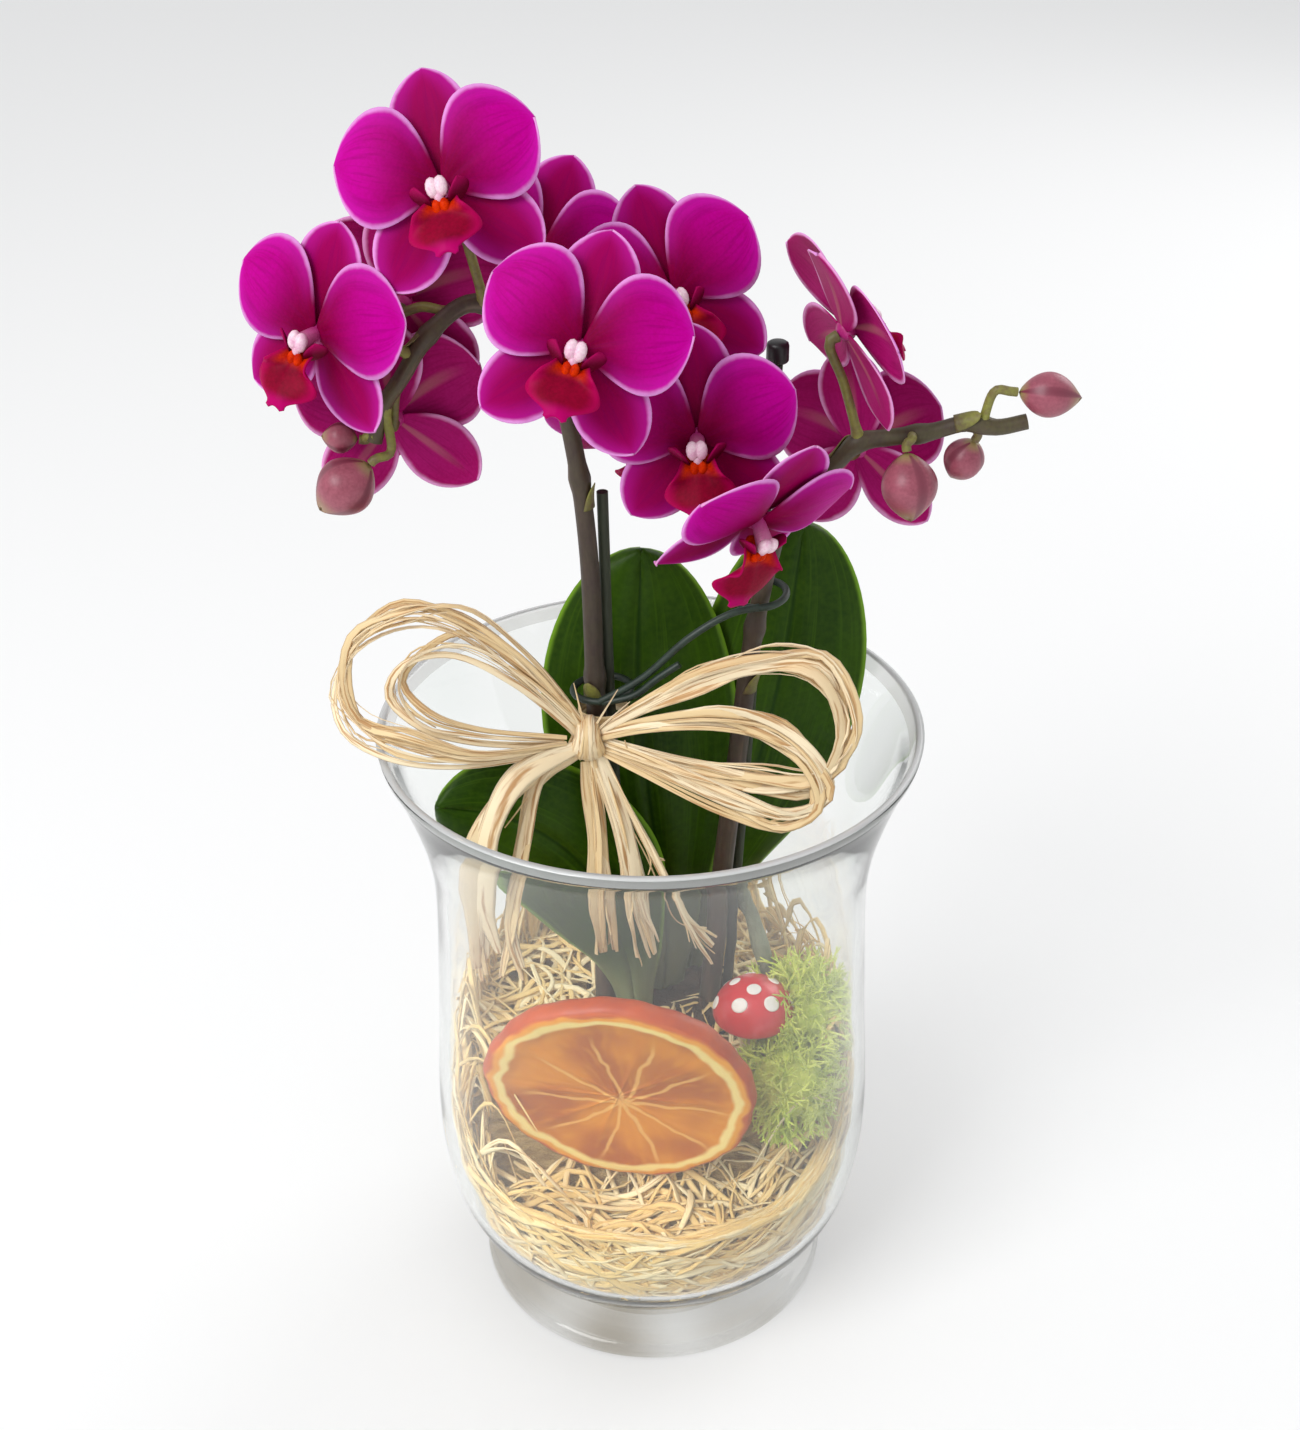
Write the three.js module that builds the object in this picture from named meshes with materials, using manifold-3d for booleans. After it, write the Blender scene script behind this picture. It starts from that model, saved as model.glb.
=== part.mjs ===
// A small moth orchid with two flower spikes, set with straw, moss, a dried orange slice and a
// wooden toadstool in a footed glass vase, and a raffia bow tied round the left spike.
// Millimetres. The vase stands on z = 0, its axis is z, and the front of the piece faces -y.

import * as THREE from 'three';
import Module from 'manifold-3d';

const wasm = await Module();
wasm.setup();
const { Manifold, Mesh } = wasm;

// Driving sizes of the vase
const FOOT_RADIUS = 50.6;
const NECK_RADIUS = 37.2;
const BELLY_RADIUS = 61.5;
const WAIST_RADIUS = 58.2;
const RIM_RADIUS = 70.4;
const VASE_HEIGHT = 184;
const WALL = 3;
const FLOOR = 15;
const VASE_SIDES = 30;

// Driving sizes of the plant and of what lies in the vase
const CLEAR = 0.3;
const SMOOTHING = 0.1;
const BLOOM_SPAN = 50;
const BLADE = 0.8;
const LIP_DROP = 12;
const LIP_START = 2.95;
const SPIKE_RADIUS = 3;
const STAKE_RADIUS = 1.5;
const PEDICEL_RADIUS = 1.2;
const LEAF_THICKNESS = 1.8;
const WIRE_RADIUS = 1;
const RAFFIA_THICKNESS = 0.7;
const ORANGE_RADIUS = 36;
const ORANGE_THICKNESS = 6.5;
const CAP_RADIUS = 11.2;
const BALL_RADIUS = 25;
const STRAW_FRONT = 50;
const STRAW_RISE = 38;
const SHRED_WIDTH = 2.4;
const SHRED_THICKNESS = 0.9;

const V = (x, y, z) => new THREE.Vector3(x, y, z);
const vec = (p) => V(p[0], p[1], p[2]);

// Seeded numbers, so that the straw, moss and raffia fall the same way every time
function seeded(seed) {
  let state = seed;
  return () => {
    state = (state + 0x6d2b79f5) | 0;
    let t = Math.imul(state ^ (state >>> 15), 1 | state);
    t = (t + Math.imul(t ^ (t >>> 7), 61 | t)) ^ t;
    return ((t ^ (t >>> 14)) >>> 0) / 4294967296;
  };
}

// A solid from corners and triangles, turned so that its faces look outward
function solidFrom(points, faces) {
  let volume = 0;
  for (const [a, b, c] of faces) {
    volume += points[a].dot(V(0, 0, 0).crossVectors(points[b], points[c]));
  }
  const wound = volume > 0 ? faces : faces.map(([a, b, c]) => [a, c, b]);
  const mesh = new Mesh({
    numProp: 3,
    vertProperties: new Float32Array(points.flatMap((p) => [p.x, p.y, p.z])),
    triVerts: new Uint32Array(wound.flat()),
  });
  return new Manifold(mesh);
}

// A solid from a library shape: corners at one place become one corner
function solidOf(geometry) {
  const place = geometry.getAttribute('position');
  const known = new Map();
  const points = [];
  const corner = [];
  for (let i = 0; i < place.count; i += 1) {
    const p = V(place.getX(i), place.getY(i), place.getZ(i));
    const key = [p.x, p.y, p.z].map((c) => Math.round(c * 1e4)).join(',');
    if (!known.has(key)) {
      known.set(key, points.length);
      points.push(p);
    }
    corner.push(known.get(key));
  }
  const order = geometry.index ? Array.from(geometry.index.array) : corner.map((_, i) => i);
  const faces = [];
  for (let i = 0; i < order.length; i += 3) {
    const [a, b, c] = [corner[order[i]], corner[order[i + 1]], corner[order[i + 2]]];
    if (a !== b && b !== c && c !== a) faces.push([a, b, c]);
  }
  return solidFrom(points, faces);
}

// A solid stretched over a row of rings that have the same number of corners
function loft(rings) {
  const count = rings[0].length;
  const points = rings.flat();
  const faces = [];
  for (let i = 0; i + 1 < rings.length; i += 1) {
    for (let j = 0; j < count; j += 1) {
      const next = (j + 1) % count;
      const a = i * count + j;
      const b = i * count + next;
      faces.push([a, b, b + count], [a, b + count, a + count]);
    }
  }
  const last = (rings.length - 1) * count;
  for (let j = 1; j + 1 < count; j += 1) {
    faces.push([0, j + 1, j], [last, last + j, last + j + 1]);
  }
  return solidFrom(points, faces);
}

// A section carried along a path. The section is a list of [across, out] for each place t.
function sweep(path, stations, section, out, twist = 0) {
  const curve = new THREE.CatmullRomCurve3(path, false, 'centripetal');
  const rings = [];
  const look = out.clone();
  for (let i = 0; i <= stations; i += 1) {
    const t = i / stations;
    const centre = curve.getPointAt(t);
    const ahead = curve.getTangentAt(t);
    look.addScaledVector(ahead, -look.dot(ahead)).normalize();
    const side = V(0, 0, 0).crossVectors(ahead, look);
    const [c, s] = [Math.cos(twist * t), Math.sin(twist * t)];
    rings.push(section(t).map(([across, away]) => centre.clone()
      .addScaledVector(side, across * c - away * s)
      .addScaledVector(look, across * s + away * c)));
  }
  return loft(rings);
}

const round = (radius, sides) => Array.from({ length: sides }, (_, i) => {
  const angle = (2 * Math.PI * i) / sides;
  return [radius * Math.cos(angle), radius * Math.sin(angle)];
});

function tube(path, stations, radiusAt, sides = 6) {
  return sweep(path, stations, (t) => round(radiusAt(t), sides), V(0.31, 0.83, 0.47));
}

function ribbon(path, stations, widthAt, thick, out, twist = 0) {
  const section = (t) => {
    const half = widthAt(t) / 2;
    return [[-half, -thick / 2], [half, -thick / 2], [half, thick / 2], [-half, thick / 2]];
  };
  return sweep(path, stations, section, out, twist);
}

// A thin blade on a middle skin: s runs from -1 to 1 across it and t from 0 to 1 along it.
// Both faces are split into triangles alike.
function blade(skin, across, stops, thickAt) {
  const sides = [[], []];
  const step = 1e-3;
  for (const t of stops) {
    for (let j = 0; j <= across; j += 1) {
      const s = -1 + (2 * j) / across;
      const [s0, s1] = [Math.max(-1, s - step), Math.min(1, s + step)];
      const [t0, t1] = [Math.max(0, t - step), Math.min(1, t + step)];
      const alongS = skin(s1, t).sub(skin(s0, t));
      const alongT = skin(s, t1).sub(skin(s, t0));
      const normal = alongS.cross(alongT).normalize();
      const half = thickAt(s, t) / 2;
      sides[0].push(skin(s, t).addScaledVector(normal, half));
      sides[1].push(skin(s, t).addScaledVector(normal, -half));
    }
  }
  const width = across + 1;
  const count = sides[0].length;
  const faces = [];
  for (let i = 0; i + 1 < stops.length; i += 1) {
    for (let j = 0; j < across; j += 1) {
      const [a, b] = [i * width + j, i * width + j + 1];
      const [c, d] = [b + width, a + width];
      faces.push([a, b, c], [a, c, d]);
      faces.push([a + count, c + count, b + count], [a + count, d + count, c + count]);
    }
  }
  const edge = [];
  for (let j = 0; j < across; j += 1) edge.push(j);
  for (let i = 0; i + 1 < stops.length; i += 1) edge.push(i * width + across);
  for (let j = across; j > 0; j -= 1) edge.push((stops.length - 1) * width + j);
  for (let i = stops.length - 1; i > 0; i -= 1) edge.push(i * width);
  edge.forEach((a, k) => {
    const b = edge[(k + 1) % edge.length];
    faces.push([a, a + count, b + count], [a, b + count, b]);
  });
  return solidFrom([...sides[0], ...sides[1]], faces);
}

// A value read off a short list of [place, value] stops
function along(stops, t) {
  for (let i = 1; i < stops.length; i += 1) {
    if (t <= stops[i][0]) {
      const [t0, v0] = stops[i - 1];
      const [t1, v1] = stops[i];
      return v0 + ((v1 - v0) * (t - t0)) / (t1 - t0);
    }
  }
  return stops[stops.length - 1][1];
}

function ball(centre, [rx, ry, rz], around = 8, down = 6) {
  const shape = new THREE.SphereGeometry(1, around, down);
  shape.rotateX(Math.PI / 2);
  shape.scale(rx, ry, rz);
  shape.translate(centre.x, centre.y, centre.z);
  return solidOf(shape);
}

const placed = (solid, matrix) => solid.transform(matrix.elements);
const fused = (solids) => Manifold.union(solids);

// Fusing can leave crumbs or seal a hollow: only the outer skin of the main body is kept
function mainBody(solid) {
  const pieces = solid.decompose();
  return pieces.reduce((best, piece) => (piece.volume() > best.volume() ? piece : best));
}

const part = new THREE.Group();
part.name = 'moth_orchid_in_vase';

function addNode(name, solid, colour, roughness, metalness = 0) {
  const mesh = mainBody(mainBody(solid).simplify(SMOOTHING)).getMesh();
  const geometry = new THREE.BufferGeometry();
  geometry.setAttribute('position', new THREE.BufferAttribute(new Float32Array(mesh.vertProperties), 3));
  geometry.setIndex(new THREE.BufferAttribute(new Uint32Array(mesh.triVerts), 1));
  geometry.computeVertexNormals();
  const color = new THREE.Color(colour);
  const node = new THREE.Mesh(geometry, new THREE.MeshStandardMaterial({ color, roughness, metalness }));
  node.name = name;
  part.add(node);
}

// Vase: blown clear glass, a bell-mouthed bowl on a short neck and a solid round foot
const bowlInside = [
  [FLOOR, 0], [FLOOR + 0.8, 26], [19, 40.5], [24, 48.5], [32, 54.5], [46, BELLY_RADIUS - WALL - 0.8],
  [62, BELLY_RADIUS - WALL], [100, 56.4], [138, WAIST_RADIUS - WALL], [152, 57], [164, 60.2],
  [176, 64.6], [VASE_HEIGHT - 1.6, RIM_RADIUS - WALL + 0.6],
];
const vaseOutline = [
  [0, 0], [FOOT_RADIUS - 1.8, 0], [FOOT_RADIUS, 2.4], [FOOT_RADIUS - 1.2, 5.2], [46, 6.8], [NECK_RADIUS, 9],
  [38.6, 12], [45, 16], [51.4, 21.6], [57.3, 31], [60.6, 45], [BELLY_RADIUS, 60], [59.4, 100],
  [WAIST_RADIUS, 138], [60, 152], [63.2, 164], [67.4, 176], [RIM_RADIUS, VASE_HEIGHT - 1.4],
  [RIM_RADIUS - 1.2, VASE_HEIGHT],
  ...bowlInside.map(([z, r]) => [r, z]).reverse(),
];
const vaseShape = new THREE.LatheGeometry(vaseOutline.map(([r, z]) => new THREE.Vector2(r, z)), VASE_SIDES);
vaseShape.rotateX(Math.PI / 2);
addNode('vase', solidOf(vaseShape), '#dfe6e2', 0.03);

const insideRadius = (z) => along(bowlInside, z);

// Orange: a dried slice that stands in the straw and leans forward to the glass
const ORANGE_CENTRE = V(-8.4, -37.2, 92.4);
const ORANGE_LEAN = THREE.MathUtils.degToRad(-11);
const ORANGE_TURN = THREE.MathUtils.degToRad(-9);
function orangeShape(grow) {
  const rows = [[0, -0.5], [0.86, -0.5], [0.97, -0.42], [1, 0], [0.97, 0.42], [0.86, 0.5], [0, 0.5]];
  const outline = rows.map(([r, h]) => new THREE.Vector2(
    r === 0 ? 0 : r * ORANGE_RADIUS + grow,
    h * ORANGE_THICKNESS + Math.sign(h) * grow,
  ));
  const shape = new THREE.LatheGeometry(outline, 26);
  shape.rotateX(-ORANGE_LEAN);
  shape.rotateZ(ORANGE_TURN);
  shape.translate(ORANGE_CENTRE.x, ORANGE_CENTRE.y, ORANGE_CENTRE.z);
  return solidOf(shape);
}
addNode('orange_slice', orangeShape(0), '#c8711a', 0.55);

// Toadstool: a turned wooden stem under a painted cap
const TOADSTOOL = V(27.8, -11, 96);
const STEM_RADIUS = 3.7;
function stemShape(grow, foot) {
  const path = [V(26.6, -11, foot), V(27.4, -11, 92), V(27.8, -11, 98.6)];
  return tube(path, 2, (t) => STEM_RADIUS + grow - 0.6 * t, 9);
}
const capOutline = [
  [0, 0], [STEM_RADIUS + 2, 0], [CAP_RADIUS - 1, -0.8], [CAP_RADIUS, 0.8], [10.2, 5], [7.6, 8.6], [4, 10.8],
  [0, 11.6],
];
function capSolid(grow) {
  const shape = new THREE.LatheGeometry(capOutline.map(([r, z]) => new THREE.Vector2(r, z)), 16);
  shape.rotateX(Math.PI / 2);
  shape.scale(1 + grow / CAP_RADIUS, 1 + grow / CAP_RADIUS, 1 + grow / CAP_RADIUS);
  shape.translate(TOADSTOOL.x, TOADSTOOL.y, TOADSTOOL.z - grow);
  return solidOf(shape);
}
addNode('toadstool_stem', stemShape(0, 76).subtract(capSolid(CLEAR)), '#e9dcb4', 0.7);
addNode('toadstool_cap', capSolid(0), '#e02c3a', 0.3);

// Spikes: two flower stems that rise from the crown, bend over and carry the bloom stalks
const leftSpike = [
  V(-13, 4, 78), V(-13, 1.5, 130), V(-13.6, 0, 170), V(-14, 0, 200), V(-14.8, 0, 232), V(-17.3, 0, 257),
  V(-21.5, 1, 276), V(-29.5, 3, 289), V(-40.5, 4, 293), V(-50, 1, 287), V(-57, -1, 277), V(-61.8, -2, 270),
  V(-64.2, -3, 262),
];
const rightSpike = [
  V(15.5, 6, 78), V(19.4, 2, 134), V(22.6, 1, 170), V(25.8, 0, 206), V(29.7, 1, 229), V(33.6, 2, 243),
  V(39.6, 1, 249), V(45.4, 0, 255.4), V(49.5, 0, 259.6), V(57.6, 0, 261), V(66, -1, 262.6),
  V(75.4, -2, 265.4), V(81.5, -3, 264.6), V(88.5, -3, 266),
];
const leftStake = [V(-7, 10, 60), V(-9, 6, 150), V(-10.3, 3.4, 187), V(-11.2, 3.2, 246)];
const rightStake = [V(19.6, 9, 60), V(23.6, 6.6, 132), V(30.3, 6, 277)];

const spikeRadius = (t) => SPIKE_RADIUS - 1.1 * t;
const stem = (path) => tube(path, 18, spikeRadius, 6);

// Blooms: where each one's heart is, how it is turned to its right, nodded up and rolled, in degrees
const BLOOMS = [
  { name: 'bloom_top_left', at: [-43.6, -10, 323.6], turn: -8, nod: 22, roll: 16, from: [-37, 3.6, 292] },
  { name: 'bloom_far_left', at: [-73.9, -8, 290.5], turn: -30, nod: 8, roll: -10, from: [-54, 0, 282] },
  { name: 'bloom_front', at: [-14.4, -31, 295], turn: -4, nod: 22, roll: -15, from: [-20.5, 1, 272] },
  { name: 'bloom_right_of_front', at: [5.8, 3, 295], turn: 8, nod: 18, roll: 15, from: [-22, 1.4, 277],
    by: [[-6, 6, 284]] },
  { name: 'bloom_behind_top', at: [-26.3, 29, 295.6], turn: 6, nod: 22, roll: -22, from: [-28, 2.6, 287],
    by: [[-31, 12, 279], [-32, 34, 281.6]] },
  { name: 'bloom_behind_left', at: [-57.2, 11.5, 291], turn: -178, nod: 4, roll: 6, from: [-45, 3, 291] },
  { name: 'bloom_low_left', at: [-60.6, 6.4, 264.5], turn: -175, nod: 0, roll: -4, from: [-58, -1, 276] },
  { name: 'bloom_centre_back', at: [-1.9, 17, 258.5], turn: 6, nod: -46, roll: 10, from: [-21.5, 1, 276],
    by: [[-14, 10, 275]] },
  { name: 'bloom_centre_right', at: [11.1, -18, 269], turn: -3, nod: 4, roll: 6, from: [31, 1.4, 234] },
  { name: 'bloom_low_right', at: [24.3, -26, 252.5], turn: 30, nod: -36, roll: -14, from: [32.6, 1.8, 240],
    by: [[30, -6, 241], [22.5, -15, 243.5], [20.5, -20.6, 248]] },
  { name: 'bloom_right_back_view', at: [45.4, -2, 288.6], turn: 112, nod: 24, roll: 20,
    from: [50, 0, 259.6] },
  { name: 'bloom_behind_right', at: [52.5, 21, 249.5], turn: 150, nod: -4, roll: -12, from: [47, 0, 257] },
];

function bloomMatrix({ at, turn, nod, roll }) {
  const rad = THREE.MathUtils.degToRad;
  return new THREE.Matrix4().makeTranslation(at[0], at[1], at[2])
    .multiply(new THREE.Matrix4().makeRotationZ(rad(turn)))
    .multiply(new THREE.Matrix4().makeRotationX(rad(90 - nod)))
    .multiply(new THREE.Matrix4().makeRotationZ(rad(roll)));
}

// One petal or sepal: it starts at the heart, points along the angle and widens by its outline
const PETAL_OUTLINE = [[0, 0.14], [0.2, 0.7], [0.5, 1], [0.84, 0.76], [1, 0.26]];
const SEPAL_OUTLINE = [[0, 0.2], [0.38, 0.94], [0.8, 0.8], [1, 0.26]];
function tepal(outline, across, { angle, length, width, start, lift, arch, cup, sweepBack }) {
  const [c, s] = [Math.cos(angle), Math.sin(angle)];
  const skin = (side, t) => {
    const reach = start + length * t;
    const off = (side * width * along(outline, t)) / 2;
    const height = lift + (arch + cup * side * side) * Math.sin(Math.PI * t) - sweepBack * t * t;
    return V(c * reach - s * off, s * reach + c * off, height);
  };
  return blade(skin, across, outline.map(([t]) => t), () => BLADE);
}

const degrees = THREE.MathUtils.degToRad;
const unit = BLOOM_SPAN / 50;
const petal = (angle) => tepal(PETAL_OUTLINE, 2, {
  angle: degrees(angle), length: 23.4 * unit, width: 25 * unit, start: 1,
  lift: 1.1, arch: 1.4, cup: -1.3, sweepBack: 0.6,
});
const sepal = (angle, length, width) => tepal(SEPAL_OUTLINE, 1, {
  angle: degrees(angle), length: length * unit, width: width * unit, start: 1,
  lift: -0.9, arch: 0.6, cup: 0, sweepBack: 1,
});
const ring6 = (radius, height) => round(radius, 6).map(([x, y]) => V(x, y - 0.3, height));
const heart = loft([ring6(2.4, -2.4), ring6(3, -1.6), ring6(3, 1.7)]);
const column = tube([V(0, 0.2, 1), V(0, -0.2, 3.6), V(0, -1.4, 6.6)], 2, (t) => 1.6 + 0.5 * t, 4);
const bloomShape = fused([
  petal(24), petal(156), sepal(90, 24.5, 18), sepal(-46, 24, 17), sepal(-134, 24, 17), heart, column,
]);

// The lip: a broad drooping tongue with a narrow tip. Near the column its sides stand up as two
// lobes, and the raised callus lies between them.
const LIP_ROWS = [
  { t: 0, half: 3.6, floor: 2.3, sides: 3 }, { t: 0.2, half: 5.4, floor: 6.6, sides: 4 },
  { t: 0.36, half: 6.2, floor: 8, sides: 1.4 }, { t: 0.62, half: 8, floor: 10.4, sides: -1.8 },
  { t: 0.86, half: 3, floor: 12, sides: -0.6 }, { t: 1, half: 2.2, floor: 12.4, sides: 0 },
];
const lipStop = (key) => LIP_ROWS.map((row) => [row.t, row[key]]);
const lipShape = blade((across, t) => V(
  across * along(lipStop('half'), t),
  -LIP_START - LIP_DROP * t,
  along(lipStop('floor'), t) + along(lipStop('sides'), t) * across * across,
), 4, LIP_ROWS.map((row) => row.t), () => BLADE);

// Stalks: each leaves its spike and ends just behind the heart of its bloom
const HEART_BACK = 2.4 + CLEAR;
function stalk(bloom) {
  const matrix = bloomMatrix(bloom);
  const behind = V(0, -0.6, -HEART_BACK).applyMatrix4(matrix);
  const further = V(0, -0.8, -HEART_BACK - 2.2).applyMatrix4(matrix);
  const middle = bloom.by ? bloom.by.map(vec) : [vec(bloom.from).lerp(further, 0.55).add(V(0, 0, 1.5))];
  return tube([vec(bloom.from), ...middle, further, behind], 3 + middle.length, () => PEDICEL_RADIUS, 4);
}

// Buds: closed, egg-shaped, on short stalks near the spike tips
const BUDS = [
  { name: 'bud_right_end', at: [92.6, -4, 273], size: [7.6, 5.3], point: [1, 0, -0.1],
    from: [78, -2.6, 265], by: [80.4, -3.6, 274] },
  { name: 'bud_right_second', at: [75.4, 1.8, 254.6], size: [6.4, 4.9], point: [-0.3, 0.3, -0.9],
    from: [77, -2.4, 265], by: [77.4, -1, 263] },
  { name: 'bud_right_third', at: [61.4, -6.6, 251.6], size: [8.6, 6.8], point: [0.1, -0.2, -1],
    from: [62, -0.4, 262], by: [61.6, -4.6, 262.4] },
  { name: 'bud_left_large', at: [-71, -8, 253], size: [8.6, 6.9], point: [-0.8, -0.1, -0.7],
    from: [-61.4, -2, 270], by: [-60.4, -5, 260] },
  { name: 'bud_left_small', at: [-72.4, -1, 262.2], size: [4.4, 3.7], point: [-1, 0, 0.1],
    from: [-64, -3, 263.4], by: [-66, -2.6, 263] },
];
function budShape({ at, size, point }) {
  const rows = [[0, -0.92], [0.5, -0.8], [0.9, -0.4], [1, 0.05], [0.82, 0.5], [0.45, 0.86], [0, 1]];
  const outline = rows.map(([r, h]) => new THREE.Vector2(r * size[1], h * size[0]));
  const shape = new THREE.LatheGeometry(outline, 9);
  const turn = new THREE.Quaternion().setFromUnitVectors(V(0, 1, 0), vec(point).normalize());
  const matrix = new THREE.Matrix4().compose(vec(at), turn, V(1, 1, 1));
  shape.applyMatrix4(matrix);
  return solidOf(shape);
}
function budStalk({ at, size, point, from, by }) {
  const way = vec(point).normalize();
  const end = vec(at).addScaledVector(way, -0.92 * size[0] - CLEAR);
  const before = end.clone().addScaledVector(way, -1.6);
  return tube([vec(from), vec(by), before, end], 4, () => PEDICEL_RADIUS, 4);
}

const knob = (x, y, z, r) => ball(V(x, y, z), [r, r, r * 0.9], 6, 3);
const leftGrowth = fused([
  stem(leftSpike),
  knob(-14, 0, 196, 3.6), knob(-16.4, 0, 251, 3.1), knob(-50.5, 1, 286.6, 2.7),
  ...BLOOMS.slice(0, 8).map(stalk),
  ...BUDS.slice(3).map(budStalk),
]);
const rightGrowth = fused([
  stem(rightSpike),
  knob(49.6, 0, 259.8, 2.8), knob(63.5, -0.6, 262.4, 2.9), knob(77.4, -2.2, 265.2, 2.6),
  ...BLOOMS.slice(8).map(stalk),
  ...BUDS.slice(0, 3).map(budStalk),
]);
addNode('spike_left', leftGrowth, '#5b4543', 0.6);
addNode('spike_right', rightGrowth, '#4a3a35', 0.6);

BLOOMS.forEach((bloom) => {
  const matrix = bloomMatrix(bloom);
  addNode(`${bloom.name}_petals`, placed(bloomShape, matrix), '#b0008c', 0.55);
  addNode(`${bloom.name}_lip`, placed(lipShape, matrix), '#86001c', 0.5);
});
BUDS.forEach((bud) => addNode(bud.name, budShape(bud), '#a5556a', 0.55));

// Stakes: thin green plant sticks beside the spikes, the right one with a dark cap
const stakeTube = (path, grow) => tube(path, 5, () => STAKE_RADIUS + grow, 6);
addNode('stake_left', stakeTube(leftStake, 0), '#2f3129', 0.6);
addNode('stake_right', stakeTube(rightStake, 0), '#4b5136', 0.6);
const stickCap = new THREE.CylinderGeometry(2.7, 2.7, 5, 10);
stickCap.rotateX(Math.PI / 2);
stickCap.translate(30.4, 6, 280.2);
addNode('stake_right_cap', solidOf(stickCap).subtract(stakeTube(rightStake, CLEAR)), '#1d1a1c', 0.5);

// Leaves: three thick blades, each folded along its midrib and narrowed to its foot in the crown
const LEAF_OUTLINE = [
  [0, 0.2], [0.14, 0.28], [0.3, 0.56], [0.48, 0.9], [0.66, 1], [0.82, 0.88], [0.95, 0.5], [1, 0.14],
];
const LEAVES = [
  { name: 'leaf_centre', width: 52, fold: 3, side: [V(1, 0, 0), V(1, 0.1, 0)],
    spine: [V(3, 9, 84), V(4, 9, 112), V(0, 10, 150), V(-3, 13, 186), V(-2, 19, 222)] },
  { name: 'leaf_right', width: 47, fold: 3, side: [V(1, 0.1, 0), V(1, 0.05, -0.2)],
    spine: [V(10, 18, 84), V(15, 18, 112), V(26, 17, 146), V(35, 20, 186), V(40, 26, 226)] },
  { name: 'leaf_left', width: 42, fold: 2.5, side: [V(1, 0, 0.2), V(0.25, 0.1, 0.95)],
    spine: [V(-4, -2, 84), V(-7, -4, 112), V(-19, -8, 144), V(-36, -11, 160), V(-54.5, -14, 166)] },
];
function leafShape({ spine, side, width, fold }, grow = 0) {
  const [foot, ...rest] = spine;
  const path = [foot.clone().setZ(foot.z - 2 * grow), ...rest];
  const curve = new THREE.CatmullRomCurve3(path, false, 'centripetal');
  const skin = (across, t) => {
    const centre = curve.getPointAt(t);
    const tangent = curve.getTangentAt(t);
    const away = side[0].clone().lerp(side[1], t);
    away.addScaledVector(tangent, -away.dot(tangent)).normalize();
    const face = V(0, 0, 0).crossVectors(away, tangent);
    const half = (width * along(LEAF_OUTLINE, t)) / 2 + grow;
    return centre.addScaledVector(away, across * half).addScaledVector(face, -fold * across * across);
  };
  const stops = LEAF_OUTLINE.map(([t]) => t);
  return blade(skin, 4, stops, (s) => LEAF_THICKNESS * (1 - 0.45 * s * s) + 2 * grow);
}
LEAVES.forEach((leaf) => addNode(leaf.name, leafShape(leaf), '#2c4a12', 0.4));

// Root ball: bark and roots in the shape of the pot they grew in, with holes where the plant stands
const bark = seeded(11);
const ballRings = [[24, 21], [44, 24], [84, BALL_RADIUS], [90, 21], [91.5, 8]];
const ballAxis = V(5, 11, 0);
const rootBall = loft(ballRings.map(([z, r]) => Array.from({ length: 12 }, (_, i) => {
  const angle = (2 * Math.PI * i) / 12;
  const reach = r * (0.95 + 0.05 * bark());
  return V(ballAxis.x + reach * Math.cos(angle), ballAxis.y + reach * Math.sin(angle), z);
})));
const chips = Array.from({ length: 5 }, (_, i) => {
  const shape = new THREE.BoxGeometry(9 + 4 * bark(), 6 + 3 * bark(), 3.4);
  shape.rotateX(0.5 * (bark() - 0.5));
  shape.rotateY(0.5 * (bark() - 0.5));
  shape.rotateZ(6 * bark());
  const angle = (2 * Math.PI * i) / 5;
  shape.translate(ballAxis.x + 14 * Math.cos(angle), ballAxis.y + 14 * Math.sin(angle), 90.4 + bark());
  return solidOf(shape);
});
const socket = (path, radius) => {
  const top = path.find((p) => p.z > 100);
  const foot = path[0].clone().setZ(path[0].z - 2 * CLEAR);
  return tube([foot, top], 1, () => radius + CLEAR + 0.4, 6);
};
const standing = fused([
  socket(leftSpike, SPIKE_RADIUS), socket(rightSpike, SPIKE_RADIUS),
  socket(leftStake, STAKE_RADIUS), socket(rightStake, STAKE_RADIUS),
  ...LEAVES.map((leaf) => leafShape(leaf, CLEAR)),
]);
addNode('root_ball', fused([rootBall, ...chips]).subtract(standing), '#4a3524', 0.9);

// Aerial root: grey, from the crown over the ball and down into the moss
const airRoot = [
  V(17, 14, 95.6), V(19.6, 13.4, 107), V(23.8, 12.4, 118), V(27.6, 8, 117), V(30, 4, 110), V(32.4, 1.6, 101),
];
const airRootTube = (grow) => tube(airRoot, 8, () => 2.4 + grow, 6);
addNode('aerial_root', airRootTube(0), '#7a7d68', 0.8);

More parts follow.
